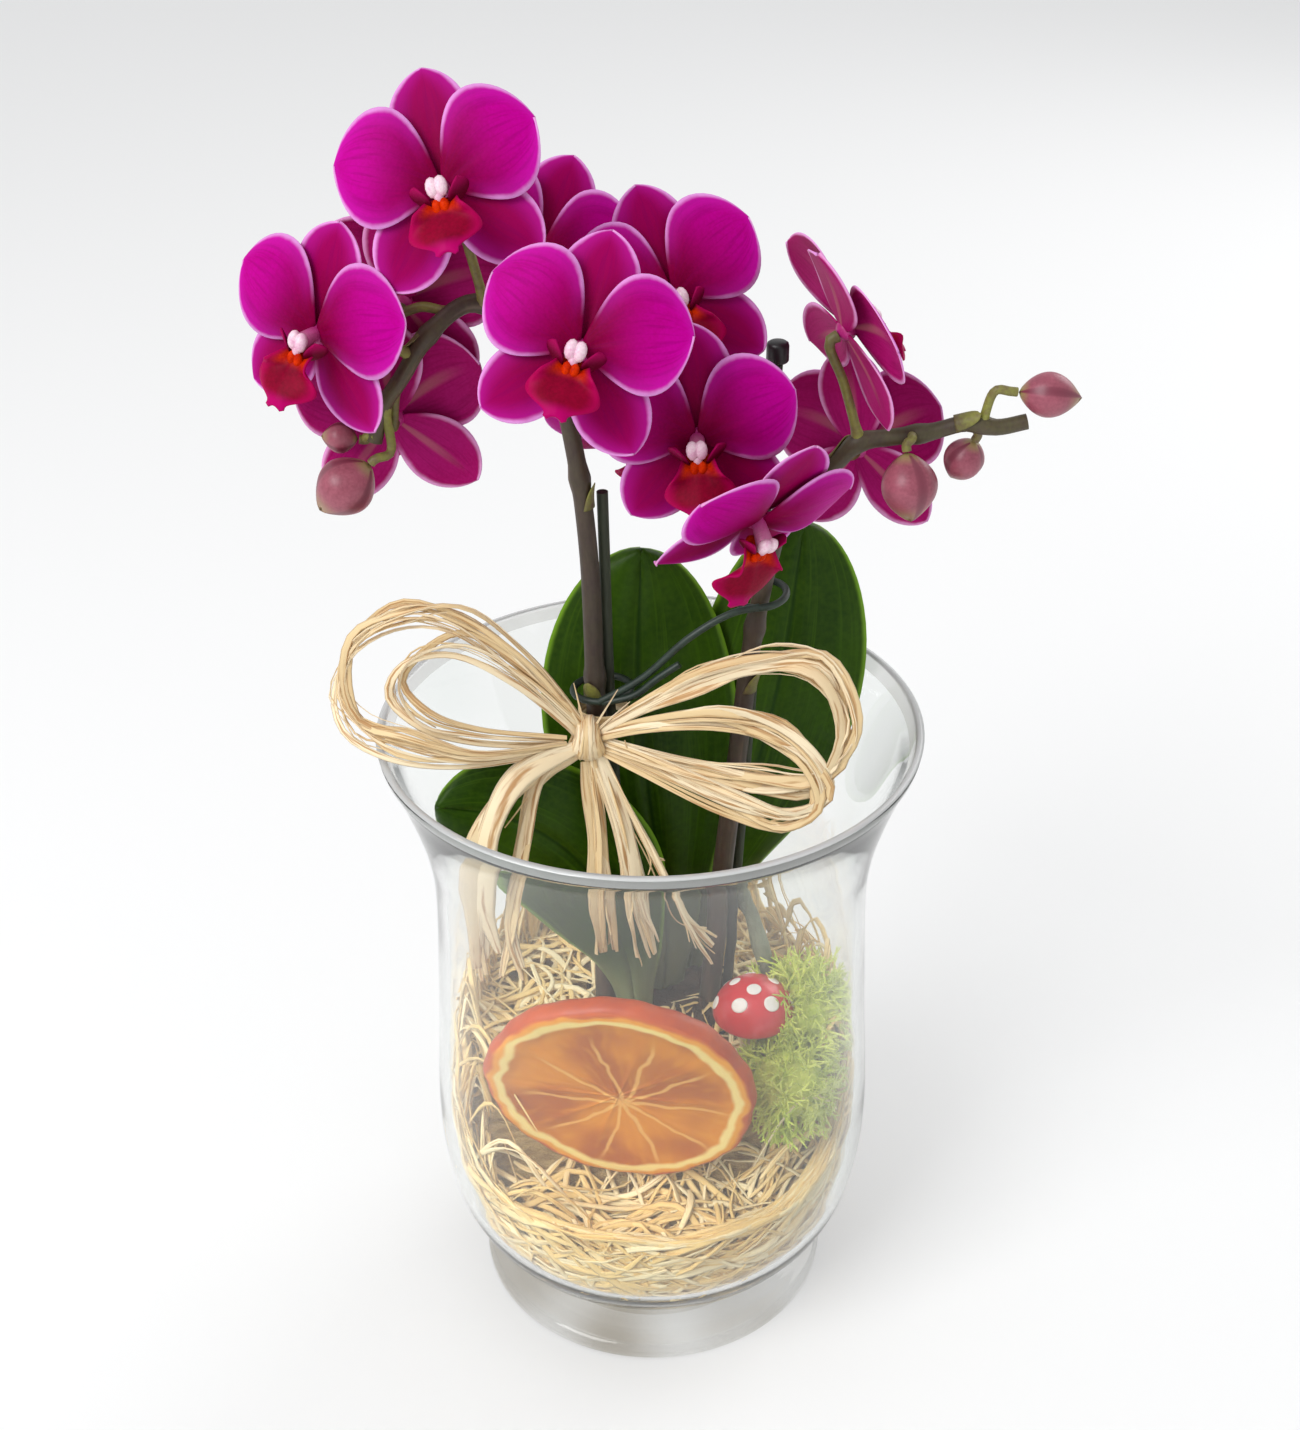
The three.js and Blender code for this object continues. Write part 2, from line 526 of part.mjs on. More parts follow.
// Moss: a low cushion right of the toadstool, with upright sprigs
const tuft = seeded(5);
const CUSHION = [[V(41, -5, 92), [13, 14, 12]], [V(36.5, -25, 83), [10.5, 12, 10]]];
const cushion = (grow) => fused(CUSHION.map(([c, r]) => ball(c, r.map((x) => x + grow), 9, 5)));
const sprigs = Array.from({ length: 24 }, (_, i) => {
  const [centre, radii] = CUSHION[i % 3 === 2 ? 1 : 0];
  const turn = 2 * Math.PI * tuft();
  const lift = 0.3 + 1.1 * tuft();
  const way = V(Math.cos(turn) * Math.cos(lift), Math.sin(turn) * Math.cos(lift), Math.sin(lift));
  const root = centre.clone().add(way.clone().multiply(vec(radii)).multiplyScalar(0.8));
  const tip = root.clone().addScaledVector(way, 6 + 6 * tuft()).add(V(2 * tuft() - 1, 2 * tuft() - 1, 1.5));
  const room = insideRadius(tip.z) - 1.6;
  const reach = Math.hypot(tip.x, tip.y);
  if (reach > room) {
    tip.x *= room / reach;
    tip.y *= room / reach;
  }
  return tube([root, tip], 1, (t) => 1 - 0.55 * t, 3);
});

// Straw: wood wool packed round the root ball, a core with loose shreds on its side and top
const strawTop = (x, y) => {
  const bank = STRAW_FRONT + STRAW_RISE * THREE.MathUtils.smoothstep(y, -40, -4);
  return bank + 1.6 * Math.sin(x / 5) * Math.cos(y / 6);
};
const strawRows = bowlInside.slice(1, 8).map(([z, r]) => new THREE.Vector2(r - 2.4, z + 0.9));
const strawBody = new THREE.LatheGeometry(
  [new THREE.Vector2(0, FLOOR + 1.2), ...strawRows, new THREE.Vector2(0, 108)], 20,
);
strawBody.rotateX(Math.PI / 2);
const cells = 6;
const topPoints = [];
for (let j = 0; j <= cells; j += 1) {
  for (let i = 0; i <= cells; i += 1) {
    const [x, y] = [-64 + (128 * i) / cells, -64 + (128 * j) / cells];
    topPoints.push(V(x, y, strawTop(x, y)));
  }
}
const topFaces = [];
const cornerCount = topPoints.length;
for (let j = 0; j < cells; j += 1) {
  for (let i = 0; i < cells; i += 1) {
    const a = j * (cells + 1) + i;
    const [b, c, d] = [a + 1, a + cells + 2, a + cells + 1];
    const [e, f, g, h] = [a, b, c, d].map((corner) => corner + cornerCount);
    topFaces.push([a, b, c], [a, c, d], [e, g, f], [e, h, g]);
  }
}
const brim = [];
for (let i = 0; i < cells; i += 1) brim.push(i);
for (let j = 0; j < cells; j += 1) brim.push(j * (cells + 1) + cells);
for (let i = cells; i > 0; i -= 1) brim.push(cells * (cells + 1) + i);
for (let j = cells; j > 0; j -= 1) brim.push(j * (cells + 1));
brim.forEach((a, k) => {
  const b = brim[(k + 1) % brim.length];
  topFaces.push([a, a + cornerCount, b + cornerCount], [a, b + cornerCount, b]);
});
const underTop = solidFrom([...topPoints, ...topPoints.map((p) => V(p.x, p.y, 5))], topFaces);

const shred = seeded(23);
const wallShreds = Array.from({ length: 14 }, (_, k) => {
  const start = (2 * Math.PI * k) / 14 + 0.2 * shred();
  const reach = (0.5 + 0.6 * shred()) * (shred() < 0.5 ? -1 : 1);
  const low = 28 + 34 * shred();
  const rise = 30 * (shred() - 0.5);
  const stops = [0, 0.25, 0.5, 0.75, 1];
  const path = stops.map((t) => {
    const angle = start + reach * t;
    const z = Math.max(30, low + rise * t);
    const radius = insideRadius(z) - 3.8 + 2.1 * Math.sin(Math.PI * t) ** 0.5;
    return V(radius * Math.cos(angle), radius * Math.sin(angle), z);
  });
  return ribbon(path, 4, () => SHRED_WIDTH, SHRED_THICKNESS, path[0].clone().setZ(0));
});
const topShreds = Array.from({ length: 9 }, (_, k) => {
  const angle = (2 * Math.PI * k) / 9;
  const way = angle + 1.2 + shred();
  const centre = V(42 * Math.cos(angle), 42 * Math.sin(angle), 0);
  const half = 9 + 6 * shred();
  const path = [-1, -0.4, 0.3, 1].map((t) => {
    const x = centre.x + Math.cos(way) * half * t;
    const y = centre.y + Math.sin(way) * half * t;
    const limit = Math.min(1, 52 / Math.hypot(x, y));
    return V(x * limit, y * limit, strawTop(x * limit, y * limit) - 0.8 + 3 * (1 - t * t));
  });
  return ribbon(path, 3, () => SHRED_WIDTH, SHRED_THICKNESS, V(0, 0, 1));
});
const settled = fused([
  orangeShape(CLEAR), stemShape(CLEAR, 75.6), cushion(CLEAR),
  tube([V(ballAxis.x, ballAxis.y, 23.6), V(ballAxis.x, ballAxis.y, 99)], 1, () => BALL_RADIUS + 0.8, 16),
]);
const strawCore = solidOf(strawBody).intersect(underTop);
addNode('straw', fused([strawCore, ...wallShreds, ...topShreds]).subtract(settled), '#e6cf95', 0.75);
addNode('moss', fused([cushion(0), ...sprigs]).subtract(fused([
  airRootTube(CLEAR), stemShape(CLEAR, 75.6), capSolid(CLEAR),
])), '#b9c64a', 0.85);

// Wire tie: a dark green covered wire that holds each spike to its stake
const ring = (centre, rx, ry, tilt, sides = 4) => {
  const turns = 11;
  const corners = [];
  const faces = [];
  for (let i = 0; i < turns; i += 1) {
    const angle = (2 * Math.PI * i) / turns;
    for (let j = 0; j < sides; j += 1) {
      const roll = (2 * Math.PI * j) / sides;
      const out = WIRE_RADIUS * Math.cos(roll);
      const [x, y] = [(rx + out) * Math.cos(angle), (ry + out) * Math.sin(angle)];
      corners.push(V(x, y, tilt * x + WIRE_RADIUS * Math.sin(roll)).add(centre));
      const [a, b] = [i * sides + j, i * sides + ((j + 1) % sides)];
      const [c, d] = [(b + sides) % (turns * sides), (a + sides) % (turns * sides)];
      faces.push([a, b, c], [a, c, d]);
    }
  }
  return solidFrom(corners, faces);
};
const wire = (path) => tube(path.map(vec), 4, () => WIRE_RADIUS, 4);
addNode('wire_tie', fused([
  ring(V(-12.2, 1.9, 191.5), 7.4, 6.6, 0.05),
  ring(V(27.6, 2.9, 218), 6.6, 7.4, 0.1),
  wire([[-12, -4.8, 191.2], [-4, -6.6, 194.4], [2, -7, 199.6], [7.4, -7, 203.6]]),
  wire([[-13, -4.8, 191.4], [-2, -6, 199], [10, -6.6, 211], [20, -5.6, 217], [27, -4.5, 218.2]]),
]), '#2c3a30', 0.5);

// Raffia bow: bundles of flat strands laid in loops and tails, all held in one knot
const KNOT = V(-15.7, -10.4, 184);
const strandSeed = seeded(77);
const BUNDLES = [
  { strands: 3, width: 3.6, spread: 4.6, stations: 9, path: [
    [-15.7, -10, 184], [-32, -12, 207], [-48, -14, 221], [-60, -15, 222], [-72, -14, 213], [-76, -15, 202],
    [-72, -19, 194], [-61, -24, 191.5], [-45, -24, 187], [-22, -13, 183]] },
  { strands: 2, width: 2.8, spread: 2.6, stations: 8, path: [
    [-15.7, -10, 185], [-32, -13, 204], [-47, -15, 214], [-58, -16, 211], [-62, -17, 203], [-56, -20, 196],
    [-44, -18, 190], [-22, -12, 184]] },
  { strands: 3, width: 3.8, spread: 4.2, stations: 9, path: [
    [-15.7, -10, 184], [-2, -13, 195], [12, -17, 206], [27, -19, 212], [41, -21, 211], [48, -23, 198],
    [46, -25, 187], [40, -25, 180], [27, -23, 180], [12, -19, 181], [-12, -11, 183]] },
  { strands: 2, width: 3.6, spread: 3.4, stations: 8, path: [
    [-15.7, -10, 184], [0, -15, 191], [17, -19, 195], [30, -21, 193], [39, -25, 186], [42, -27, 176],
    [34, -27, 171], [20, -23, 173], [-2, -15, 180], [-15, -10, 183]] },
  { strands: 2, width: 5, spread: 2.6, stations: 4, path: [
    [-17, -11, 182], [-33, -20, 178], [-41, -26, 168], [-43, -26, 148], [-42, -24, 118]] },
  { strands: 1, width: 7, spread: 1, stations: 4, path: [
    [-17, -11, 182], [-28, -17, 176], [-33, -22, 158], [-36, -25, 138], [-36, -26, 122]] },
  { strands: 2, width: 4, spread: 2.6, stations: 3, path: [
    [-15.4, -11, 179], [-13.6, -15, 160], [-12.6, -16, 141], [-11, -12, 113]] },
  { strands: 2, width: 5, spread: 2.6, stations: 3, path: [
    [-14, -11, 179], [-8, -15, 160], [-5, -16, 141], [-1, -12, 113]] },
  { strands: 1, width: 2.4, spread: 2, stations: 3, path: [
    [-13, -11, 179], [-1, -15, 154], [8, -16, 134], [14, -12, 116]] },
];
function strand({ strands, width, spread, stations, path }, k) {
  const lane = strands > 1 ? (2 * k) / (strands - 1) - 1 : 0;
  const isLoop = path[path.length - 1][2] > 170;
  const jitter = () => (strandSeed() - 0.5) * 0.5 * spread;
  const points = path.map((p, i) => {
    const free = Math.min(1, i / 2, isLoop ? (path.length - 1 - i) / 2 : 1);
    const shift = V(0.5 * lane * spread, 0.3 * jitter() - 0.9 * k, lane * spread * 0.7 + jitter());
    return vec(p).addScaledVector(shift, free);
  });
  const wide = width * (0.75 + 0.5 * strandSeed());
  const widthAt = (t) => wide * (0.55 + 0.45 * Math.sin(Math.PI * Math.min(1, 0.1 + 0.9 * t)));
  return ribbon(points, stations, widthAt, RAFFIA_THICKNESS, V(0.1, -1, 0.5), 0.5 * (strandSeed() - 0.5));
}
const lanes = (bundle) => Array.from({ length: bundle.strands }, (_, k) => k);
const raffia = BUNDLES.flatMap((bundle) => lanes(bundle).map((k) => strand(bundle, k)));
const bandTurns = 12;
function band(centre, rx, ry, half, thick) {
  const ringAt = (grow, z) => Array.from({ length: bandTurns }, (_, i) => {
    const angle = (2 * Math.PI * i) / bandTurns;
    return V((rx + grow) * Math.cos(angle), (ry + grow) * Math.sin(angle), z).add(centre);
  });
  const hole = loft([ringAt(0, -half - 1), ringAt(0, half + 1)]);
  return loft([ringAt(thick, -half), ringAt(thick, half)]).subtract(hole);
}
addNode('raffia_bow', fused([
  ...raffia,
  ball(KNOT, [3.6, 7.4, 6.2], 8, 5),
  band(V(-12.05, 1.85, 184), 5.6, 5.6, 2, 1.1),
]), '#e8d3a6', 0.7);

export default part;
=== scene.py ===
import math
import random

import bmesh
import bpy
from mathutils import Matrix, Vector, noise


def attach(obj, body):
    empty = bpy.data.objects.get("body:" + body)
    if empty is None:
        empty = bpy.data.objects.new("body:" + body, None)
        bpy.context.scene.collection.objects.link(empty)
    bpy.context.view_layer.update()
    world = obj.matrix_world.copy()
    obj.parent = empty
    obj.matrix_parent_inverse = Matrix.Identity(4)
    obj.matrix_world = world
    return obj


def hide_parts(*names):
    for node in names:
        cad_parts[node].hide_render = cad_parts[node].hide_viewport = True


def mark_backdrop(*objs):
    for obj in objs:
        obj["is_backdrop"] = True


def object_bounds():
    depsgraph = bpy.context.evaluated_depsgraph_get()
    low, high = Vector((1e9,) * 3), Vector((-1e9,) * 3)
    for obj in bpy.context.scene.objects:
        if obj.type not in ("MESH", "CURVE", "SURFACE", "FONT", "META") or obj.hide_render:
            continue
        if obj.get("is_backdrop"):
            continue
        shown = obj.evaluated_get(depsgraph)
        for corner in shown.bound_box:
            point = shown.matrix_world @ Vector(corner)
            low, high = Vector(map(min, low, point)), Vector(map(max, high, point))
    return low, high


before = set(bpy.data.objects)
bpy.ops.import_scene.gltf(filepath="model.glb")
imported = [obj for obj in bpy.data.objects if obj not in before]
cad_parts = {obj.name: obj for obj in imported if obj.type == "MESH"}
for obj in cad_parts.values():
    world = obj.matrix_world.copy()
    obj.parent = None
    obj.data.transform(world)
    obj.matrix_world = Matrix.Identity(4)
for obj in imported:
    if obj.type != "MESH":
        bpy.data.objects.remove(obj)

cad_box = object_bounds()

# Stage: a pale floor that glows a little, an even white surround and two soft lamps. The camera
# looks down on the piece from the front.
FLOOR_REACH, FLOOR_GLOW, SURROUND = 40, 0.22, 0.68
LAMP_SIDE, LAMP_AIM = 0.9, Vector((0, 0, 0.2))
VIEW_HEIGHT, FOCAL, SENSOR = 1430, 1900, 36
EYE, PITCH, ROLL = (0, -0.41714, 0.43882), math.radians(31.36), 0.0065
scene = bpy.context.scene
scene.view_settings.view_transform = "Standard"
world = bpy.data.worlds.new("surround")
scene.world = world
world.use_nodes = True
world.node_tree.nodes["Background"].inputs["Color"].default_value = (0.98, 0.99, 1.0, 1)
world.node_tree.nodes["Background"].inputs["Strength"].default_value = SURROUND


def add_object(name, data):
    made = bpy.data.objects.new(name, data)
    scene.collection.objects.link(made)
    return made


def lamp(name, place, watts):
    """A soft square lamp that shines on the middle of the piece."""
    light = bpy.data.lights.new(name, "AREA")
    light.shape, light.size, light.size_y, light.energy = "RECTANGLE", LAMP_SIDE, LAMP_SIDE, watts
    made = add_object(name, light)
    made.location = place
    made.rotation_euler = (LAMP_AIM - Vector(place)).to_track_quat("-Z", "Y").to_euler()
    return made


floor_mesh = bpy.data.meshes.new("floor")
corners = ((-1, -1), (1, -1), (1, 1), (-1, 1))
floor_mesh.from_pydata([(x * FLOOR_REACH, y * FLOOR_REACH, 0) for x, y in corners], [], [(0, 1, 2, 3)])
floor_finish = bpy.data.materials.new("pale_floor")
floor_finish.use_nodes = True
for key, value in (("Base Color", (0.7, 0.7, 0.7, 1)), ("Roughness", 0.8), ("Emission Color", (1, 1, 1, 1)),
                   ("Emission Strength", FLOOR_GLOW)):
    floor_finish.node_tree.nodes["Principled BSDF"].inputs[key].default_value = value
floor_mesh.materials.append(floor_finish)
floor = add_object("floor", floor_mesh)
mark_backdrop(floor, lamp("window", (-0.95, -0.85, 1.3), 17), lamp("fill", (1.0, 0.9, 0.9), 6))

lens = bpy.data.cameras.new("camera")
lens.lens, lens.sensor_width = FOCAL / VIEW_HEIGHT * SENSOR, SENSOR
lens.clip_start, lens.clip_end = 0.01, 30
forward, right = Vector((0, math.cos(PITCH), -math.sin(PITCH))), Vector((1, 0, 0))
level_up = right.cross(forward)
image_right = right * math.cos(ROLL) - level_up * math.sin(ROLL)
image_up = right * math.sin(ROLL) + level_up * math.cos(ROLL)
camera = add_object("camera", lens)
camera.matrix_world = (Matrix.Translation(EYE)
                       @ Matrix((image_right, image_up, -forward)).transposed().to_4x4())
scene.camera = camera

# Vase: clear glass, blown in one piece with a bell mouth, a bellied bowl, a short neck and a thick
# round foot that it stands on. It is turned here from one outline, in millimetres, and what fills
# it keeps inside that.
MM = 0.001
BOWL_INSIDE = [(15, 0), (15.8, 26), (19, 40.5), (24, 48.5), (32, 54.5), (46, 57.7), (62, 58.5),
               (100, 56.4), (138, 55.2), (152, 57), (164, 60.2), (176, 64.6), (182.4, 68)]
BOWL_OUTSIDE = [(48.8, 0), (50.3, 0.8), (50.6, 2.4), (50.0, 4.2), (48.4, 5.4), (46.8, 5.3), (45.4, 6.0),
                (42.6, 7.5), (40.2, 7.6), (38.4, 8.2), (37.2, 9.8), (38.6, 12), (45, 16), (51.4, 21.6),
                (57.3, 31), (60.6, 45), (61.5, 60), (59.4, 100), (58.2, 138), (60, 152), (63.2, 164),
                (67.4, 176), (70.2, 182.4), (70.0, 183.6), (69.3, 184), (68.5, 183.6)]
UNDERSIDE = [(0, 0.9), (26, 0.9), (30, 0.7), (33, 0.1), (36, 0), (44, 0)]
VASE_SIDES, FOOT_TOP, RIM_FROM, GLASS_IOR = 120, 11, 181.2, 1.45


class Heap:
    """Points in millimetres, faces, and values kept on the points, before they become a mesh."""

    def __init__(self, points=(), faces=()):
        self.points, self.faces, self.marks = list(points), list(faces), {}

    def add(self, point, marks):
        self.points.append(point)
        for key, value in marks.items():
            self.marks.setdefault(key, []).append(value)

    def mesh(self, name, edges=()):
        mesh = bpy.data.meshes.new(name)
        mesh.from_pydata([tuple(c * MM for c in p) for p in self.points], edges, self.faces)
        for key, values in self.marks.items():
            mesh.attributes.new(key, "FLOAT", "POINT").data.foreach_set("value", values)
        return mesh


def on_circle(r, a, z=0):
    return Vector((r * math.cos(a), r * math.sin(a), z))


def ring_faces(rows, around):
    """Faces between rings of points that follow each other."""
    return [(i * around + j, i * around + (j + 1) % around, (i + 1) * around + (j + 1) % around,
             (i + 1) * around + j) for i in range(rows - 1) for j in range(around)]


def turned_shape(outline, around):
    """An outline of (radius, height) turned about the upright axis."""
    return Heap((on_circle(r, 2 * math.pi * i / around, z) for r, z in outline for i in range(around)),
                ring_faces(len(outline), around))


def smooth_line(points, count):
    """Evenly spaced points on a smooth line through the given ones."""
    knots = [Vector(p) for p in points]
    knots = [knots[0] * 2 - knots[1], *knots, knots[-1] * 2 - knots[-2]]
    dense = []
    for p0, p1, p2, p3 in zip(knots, knots[1:], knots[2:], knots[3:]):
        d1, d2, d3 = (max(1e-6, (b - a).length ** 0.5) for a, b in ((p0, p1), (p1, p2), (p2, p3)))
        m1 = ((p1 - p0) / d1 - (p2 - p0) / (d1 + d2) + (p2 - p1) / d2) * d2
        m2 = ((p2 - p1) / d2 - (p3 - p1) / (d2 + d3) + (p3 - p2) / d3) * d2
        for k in range(12):
            t = k / 12
            dense.append(p1 * (2 * t ** 3 - 3 * t ** 2 + 1) + m1 * (t ** 3 - 2 * t ** 2 + t)
                         + p2 * (3 * t ** 2 - 2 * t ** 3) + m2 * (t ** 3 - t ** 2))
    dense.append(knots[-2])
    reach = [0.0]
    for a, b in zip(dense, dense[1:]):
        reach.append(reach[-1] + (b - a).length)
    made, i = [], 0
    for k in range(count):
        want = reach[-1] * k / (count - 1)
        while i < len(reach) - 2 and reach[i + 1] < want:
            i += 1
        step = max(1e-9, reach[i + 1] - reach[i])
        made.append(dense[i].lerp(dense[i + 1], min(1.0, (want - reach[i]) / step)))
    return made


def smooth_outline(outline, count):
    return [(p.x, p.z) for p in smooth_line([(r, 0, z) for r, z in outline], count)]


def take_in(piece, nodes=()):
    """The piece goes with the vase and stands for these nodes."""
    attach(piece, "root")
    if nodes:
        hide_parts(*nodes)
    return piece


def make_piece(name, heap, finishes, nodes=(), finish_of=None):
    """A closed smooth piece. finish_of tells which of the finishes each face has."""
    mesh = heap.mesh(name)
    for finish in finishes:
        mesh.materials.append(finish)
    if finish_of:
        mesh.polygons.foreach_set("material_index", finish_of)
    shape = bmesh.new()
    shape.from_mesh(mesh)
    bmesh.ops.remove_doubles(shape, verts=shape.verts, dist=1e-6)
    bmesh.ops.recalc_face_normals(shape, faces=shape.faces)
    for face in shape.faces:
        face.smooth = True
    shape.to_mesh(mesh)
    shape.free()
    return take_in(add_object(name, mesh), nodes)


def paint(red, green, blue):
    """A colour given as it looks on a screen, for a shader."""
    shares = (c / 255 for c in (red, green, blue))
    return (*(c / 12.92 if c <= 0.04045 else ((c + 0.055) / 1.055) ** 2.4 for c in shares), 1)


class Nodes:
    """Short ways to grow a node tree. An input is a plain value or another node's output, and a
    colour of three numbers is given as it looks on a screen."""

    def __init__(self, tree):
        self.tree = tree

    def fill(self, node, inputs):
        for key, value in inputs.items():
            socket = node.inputs[key]
            if isinstance(value, bpy.types.NodeSocket):
                self.tree.links.new(value, socket)
            else:
                socket.default_value = paint(*value) if socket.type == "RGBA" and len(value) == 3 else value

    def add(self, kind, inputs=None, **settings):
        made = self.tree.nodes.new(kind)
        for key, value in settings.items():
            setattr(made, key, value)
        self.fill(made, inputs or {})
        return made

    def calc(self, how, *values):
        return self.add("ShaderNodeMath", dict(enumerate(values)), operation=how).outputs[0]

    def times(self, first, second):
        return self.calc("MULTIPLY", first, second)

    def vector(self, how, *values):
        places = (0, 3 if how == "SCALE" else 1)
        made = self.add("ShaderNodeVectorMath", dict(zip(places, values)), operation=how)
        return made.outputs["Value" if how == "LENGTH" else 0]

    def xyz(self, x, y, z):
        return self.add("ShaderNodeCombineXYZ", {"X": x, "Y": y, "Z": z}).outputs[0]

    def here(self):
        return self.add("ShaderNodeTexCoord").outputs["Object"]

    def mark(self, key):
        """A value kept on the points."""
        return self.add("ShaderNodeAttribute", attribute_name=key).outputs["Fac"]

    def noise(self, place, scale, detail, result="Fac"):
        made = self.add("ShaderNodeTexNoise", {"Vector": place, "Scale": scale, "Detail": detail})
        return made.outputs[result]

    def blend(self, factor, first, second):
        """The colour between two colours."""
        return self.add("ShaderNodeMix", {0: factor, 6: first, 7: second}, data_type="RGBA").outputs[2]

    def ramp(self, value, low, high):
        """0 below low, 1 above high, and smooth between them. low may be above high."""
        return self.add("ShaderNodeMapRange", {"Value": value, "From Min": low, "From Max": high},
                        interpolation_type="SMOOTHSTEP").outputs["Result"]

    def bump(self, height, strength, depth):
        """A normal for relief of this depth in millimetres."""
        return self.add("ShaderNodeBump", {"Height": height, "Strength": strength,
                                           "Distance": depth * MM}).outputs["Normal"]


class Finish(Nodes):
    """A new material with its Principled shader."""

    def __init__(self, name):
        self.material = bpy.data.materials.new(name)
        self.material.use_nodes = True
        super().__init__(self.material.node_tree)
        self.skin = self.tree.nodes["Principled BSDF"]

    def dress(self, colour, rough, normal=None, others=None):
        """Sets the inputs of the shader and gives the material."""
        relief = {"Normal": normal} if normal else {}
        self.fill(self.skin, {"Base Color": colour, "Roughness": rough, **relief, **(others or {})})
        return self.material


def glass_finish(name, tint, passes):
    """Clear glass with a faint ripple and a little dust. It lets the light through to its inside."""
    n = Finish(name)
    here = n.here()
    swirl = n.noise(here, 22.0, 1.0)
    haze = n.times(n.ramp(n.noise(here, 260.0, 3.0), 0.62, 0.8), 0.06)
    n.dress(n.blend(n.ramp(swirl, 0.3, 0.7), tint, (252, 253, 252)), haze, n.bump(swirl, 0.12, 0.8),
            {"Metallic": 0.0, "Transmission Weight": passes, "IOR": GLASS_IOR})
    clear = n.add("ShaderNodeBsdfTransparent", {"Color": (0.96, 0.965, 0.96, 1)})
    shadow = n.add("ShaderNodeLightPath").outputs["Is Shadow Ray"]
    pass_on = n.add("ShaderNodeMixShader", {0: shadow, 1: n.skin.outputs[0], 2: clear.outputs[0]})
    n.tree.links.new(pass_on.outputs[0], n.tree.nodes["Material Output"].inputs["Surface"])
    return n.material


glasses = [glass_finish("clear_blown_glass", (246, 249, 247), 0.985),
           # The rim band lets only about half of the light through and is milky white for the rest: painted
           # brightness, for the light that runs round inside the rim's edge.
           glass_finish("fire_polished_rim", (248, 250, 249), 0.46),
           # The foot is tinted beige-grey: painted light, standing for the straw and the floor that show
           # through the thick glass.
           glass_finish("pressed_foot", (176, 168, 154), 0.95)]
outer = UNDERSIDE + smooth_outline(BOWL_OUTSIDE, 96)
profile = outer + smooth_outline([(r, z) for z, r in reversed(BOWL_INSIDE)], 74)
finish_of = []
for i, (_, z) in enumerate(profile[:-1]):
    in_foot = i < len(UNDERSIDE) or (i < len(outer) and z < FOOT_TOP)
    finish_of += [1 if z > RIM_FROM else 2 if in_foot else 0] * VASE_SIDES
make_piece("vase_glass", turned_shape(profile, VASE_SIDES), glasses, ["vase"], finish_of)

# Root ball: damp bark chips and roots in the shape of the pot that the plant was grown in. It
# stands in the middle of the straw, and only its top shows between the stems.
BALL_AXIS, CHIPS_PER_SQUARE_METRE = Vector((5, 11, 0)), 42000.0
BALL_OUTLINE = [(0, 24), (20, 24), (22.5, 44), (23.2, 70), (22.6, 83), (18, 88), (9, 89.2), (0, 89.6)]
CHIP_OUTLINE = ((-1, -0.7), (0.1, -1), (1, -0.5), (0.9, 0.8), (-0.2, 1), (-1, 0.5))


def new_group(name, kind, inputs, outputs):
    """A node group: short ways to grow it, its inputs, and the ends that its outputs link to."""
    tree = bpy.data.node_groups.new(name, kind)
    for way, sockets in (("INPUT", inputs), ("OUTPUT", outputs)):
        for label, socket in sockets.items():
            tree.interface.new_socket(label, in_out=way, socket_type="NodeSocket" + socket)
    n = Nodes(tree)
    return n, n.add("NodeGroupInput").outputs, n.add("NodeGroupOutput").inputs


def mottle_group():
    """Cloudy change from one colour to another with fine grain, for everything that grew."""
    n, given, end = new_group("grown_mottle", "ShaderNodeTree", {
        "Color": "Color", "Other": "Color", "Scale": "Float", "Amount": "Float", "Grain": "Float",
        "Stretch": "Vector"}, {"Color": "Color", "Height": "Float"})
    drawn = n.vector("MULTIPLY", n.here(), given["Stretch"])
    grain = n.noise(drawn, given["Grain"], 2.0)
    both = n.calc("ADD", n.ramp(n.noise(drawn, given["Scale"], 4.0), 0.38, 0.66), n.ramp(grain, 0.2, 0.8))
    share = n.times(n.times(both, given["Amount"]), 0.5)
    n.tree.links.new(n.blend(share, given["Color"], given["Other"]), end[0])
    n.tree.links.new(grain, end[1])
    return n.tree


GROWN = mottle_group()


def mottle(n, color, other, scale, amount, grain, stretch=(1, 1, 1)):
    """The mottle group placed in a material, as its colour and its height."""
    made = n.add("ShaderNodeGroup", node_tree=GROWN)
    n.fill(made, {"Color": color, "Other": other, "Scale": scale, "Amount": amount, "Grain": grain,
                  "Stretch": stretch})
    return made.outputs["Color"], made.outputs["Height"]


def plain_finish(name, color, other, spread, rough, strength, depth, others=None):
    """A finish of one mottled colour with relief. spread is the scale, amount, grain and stretch."""
    n = Finish(name)
    tone, height = mottle(n, color, other, *spread)
    return n.dress(tone, rough, n.bump(height, strength, depth), others)


def finish_group(n, shape, finish, end):
    """Makes the shape real and gives it its material, as the end of a geometry group."""
    real = n.add("GeometryNodeRealizeInstances", {"Geometry": shape})
    done = n.add("GeometryNodeSetMaterial", {"Geometry": real.outputs[0], "Material": finish})
    n.tree.links.new(done.outputs[0], end[0])


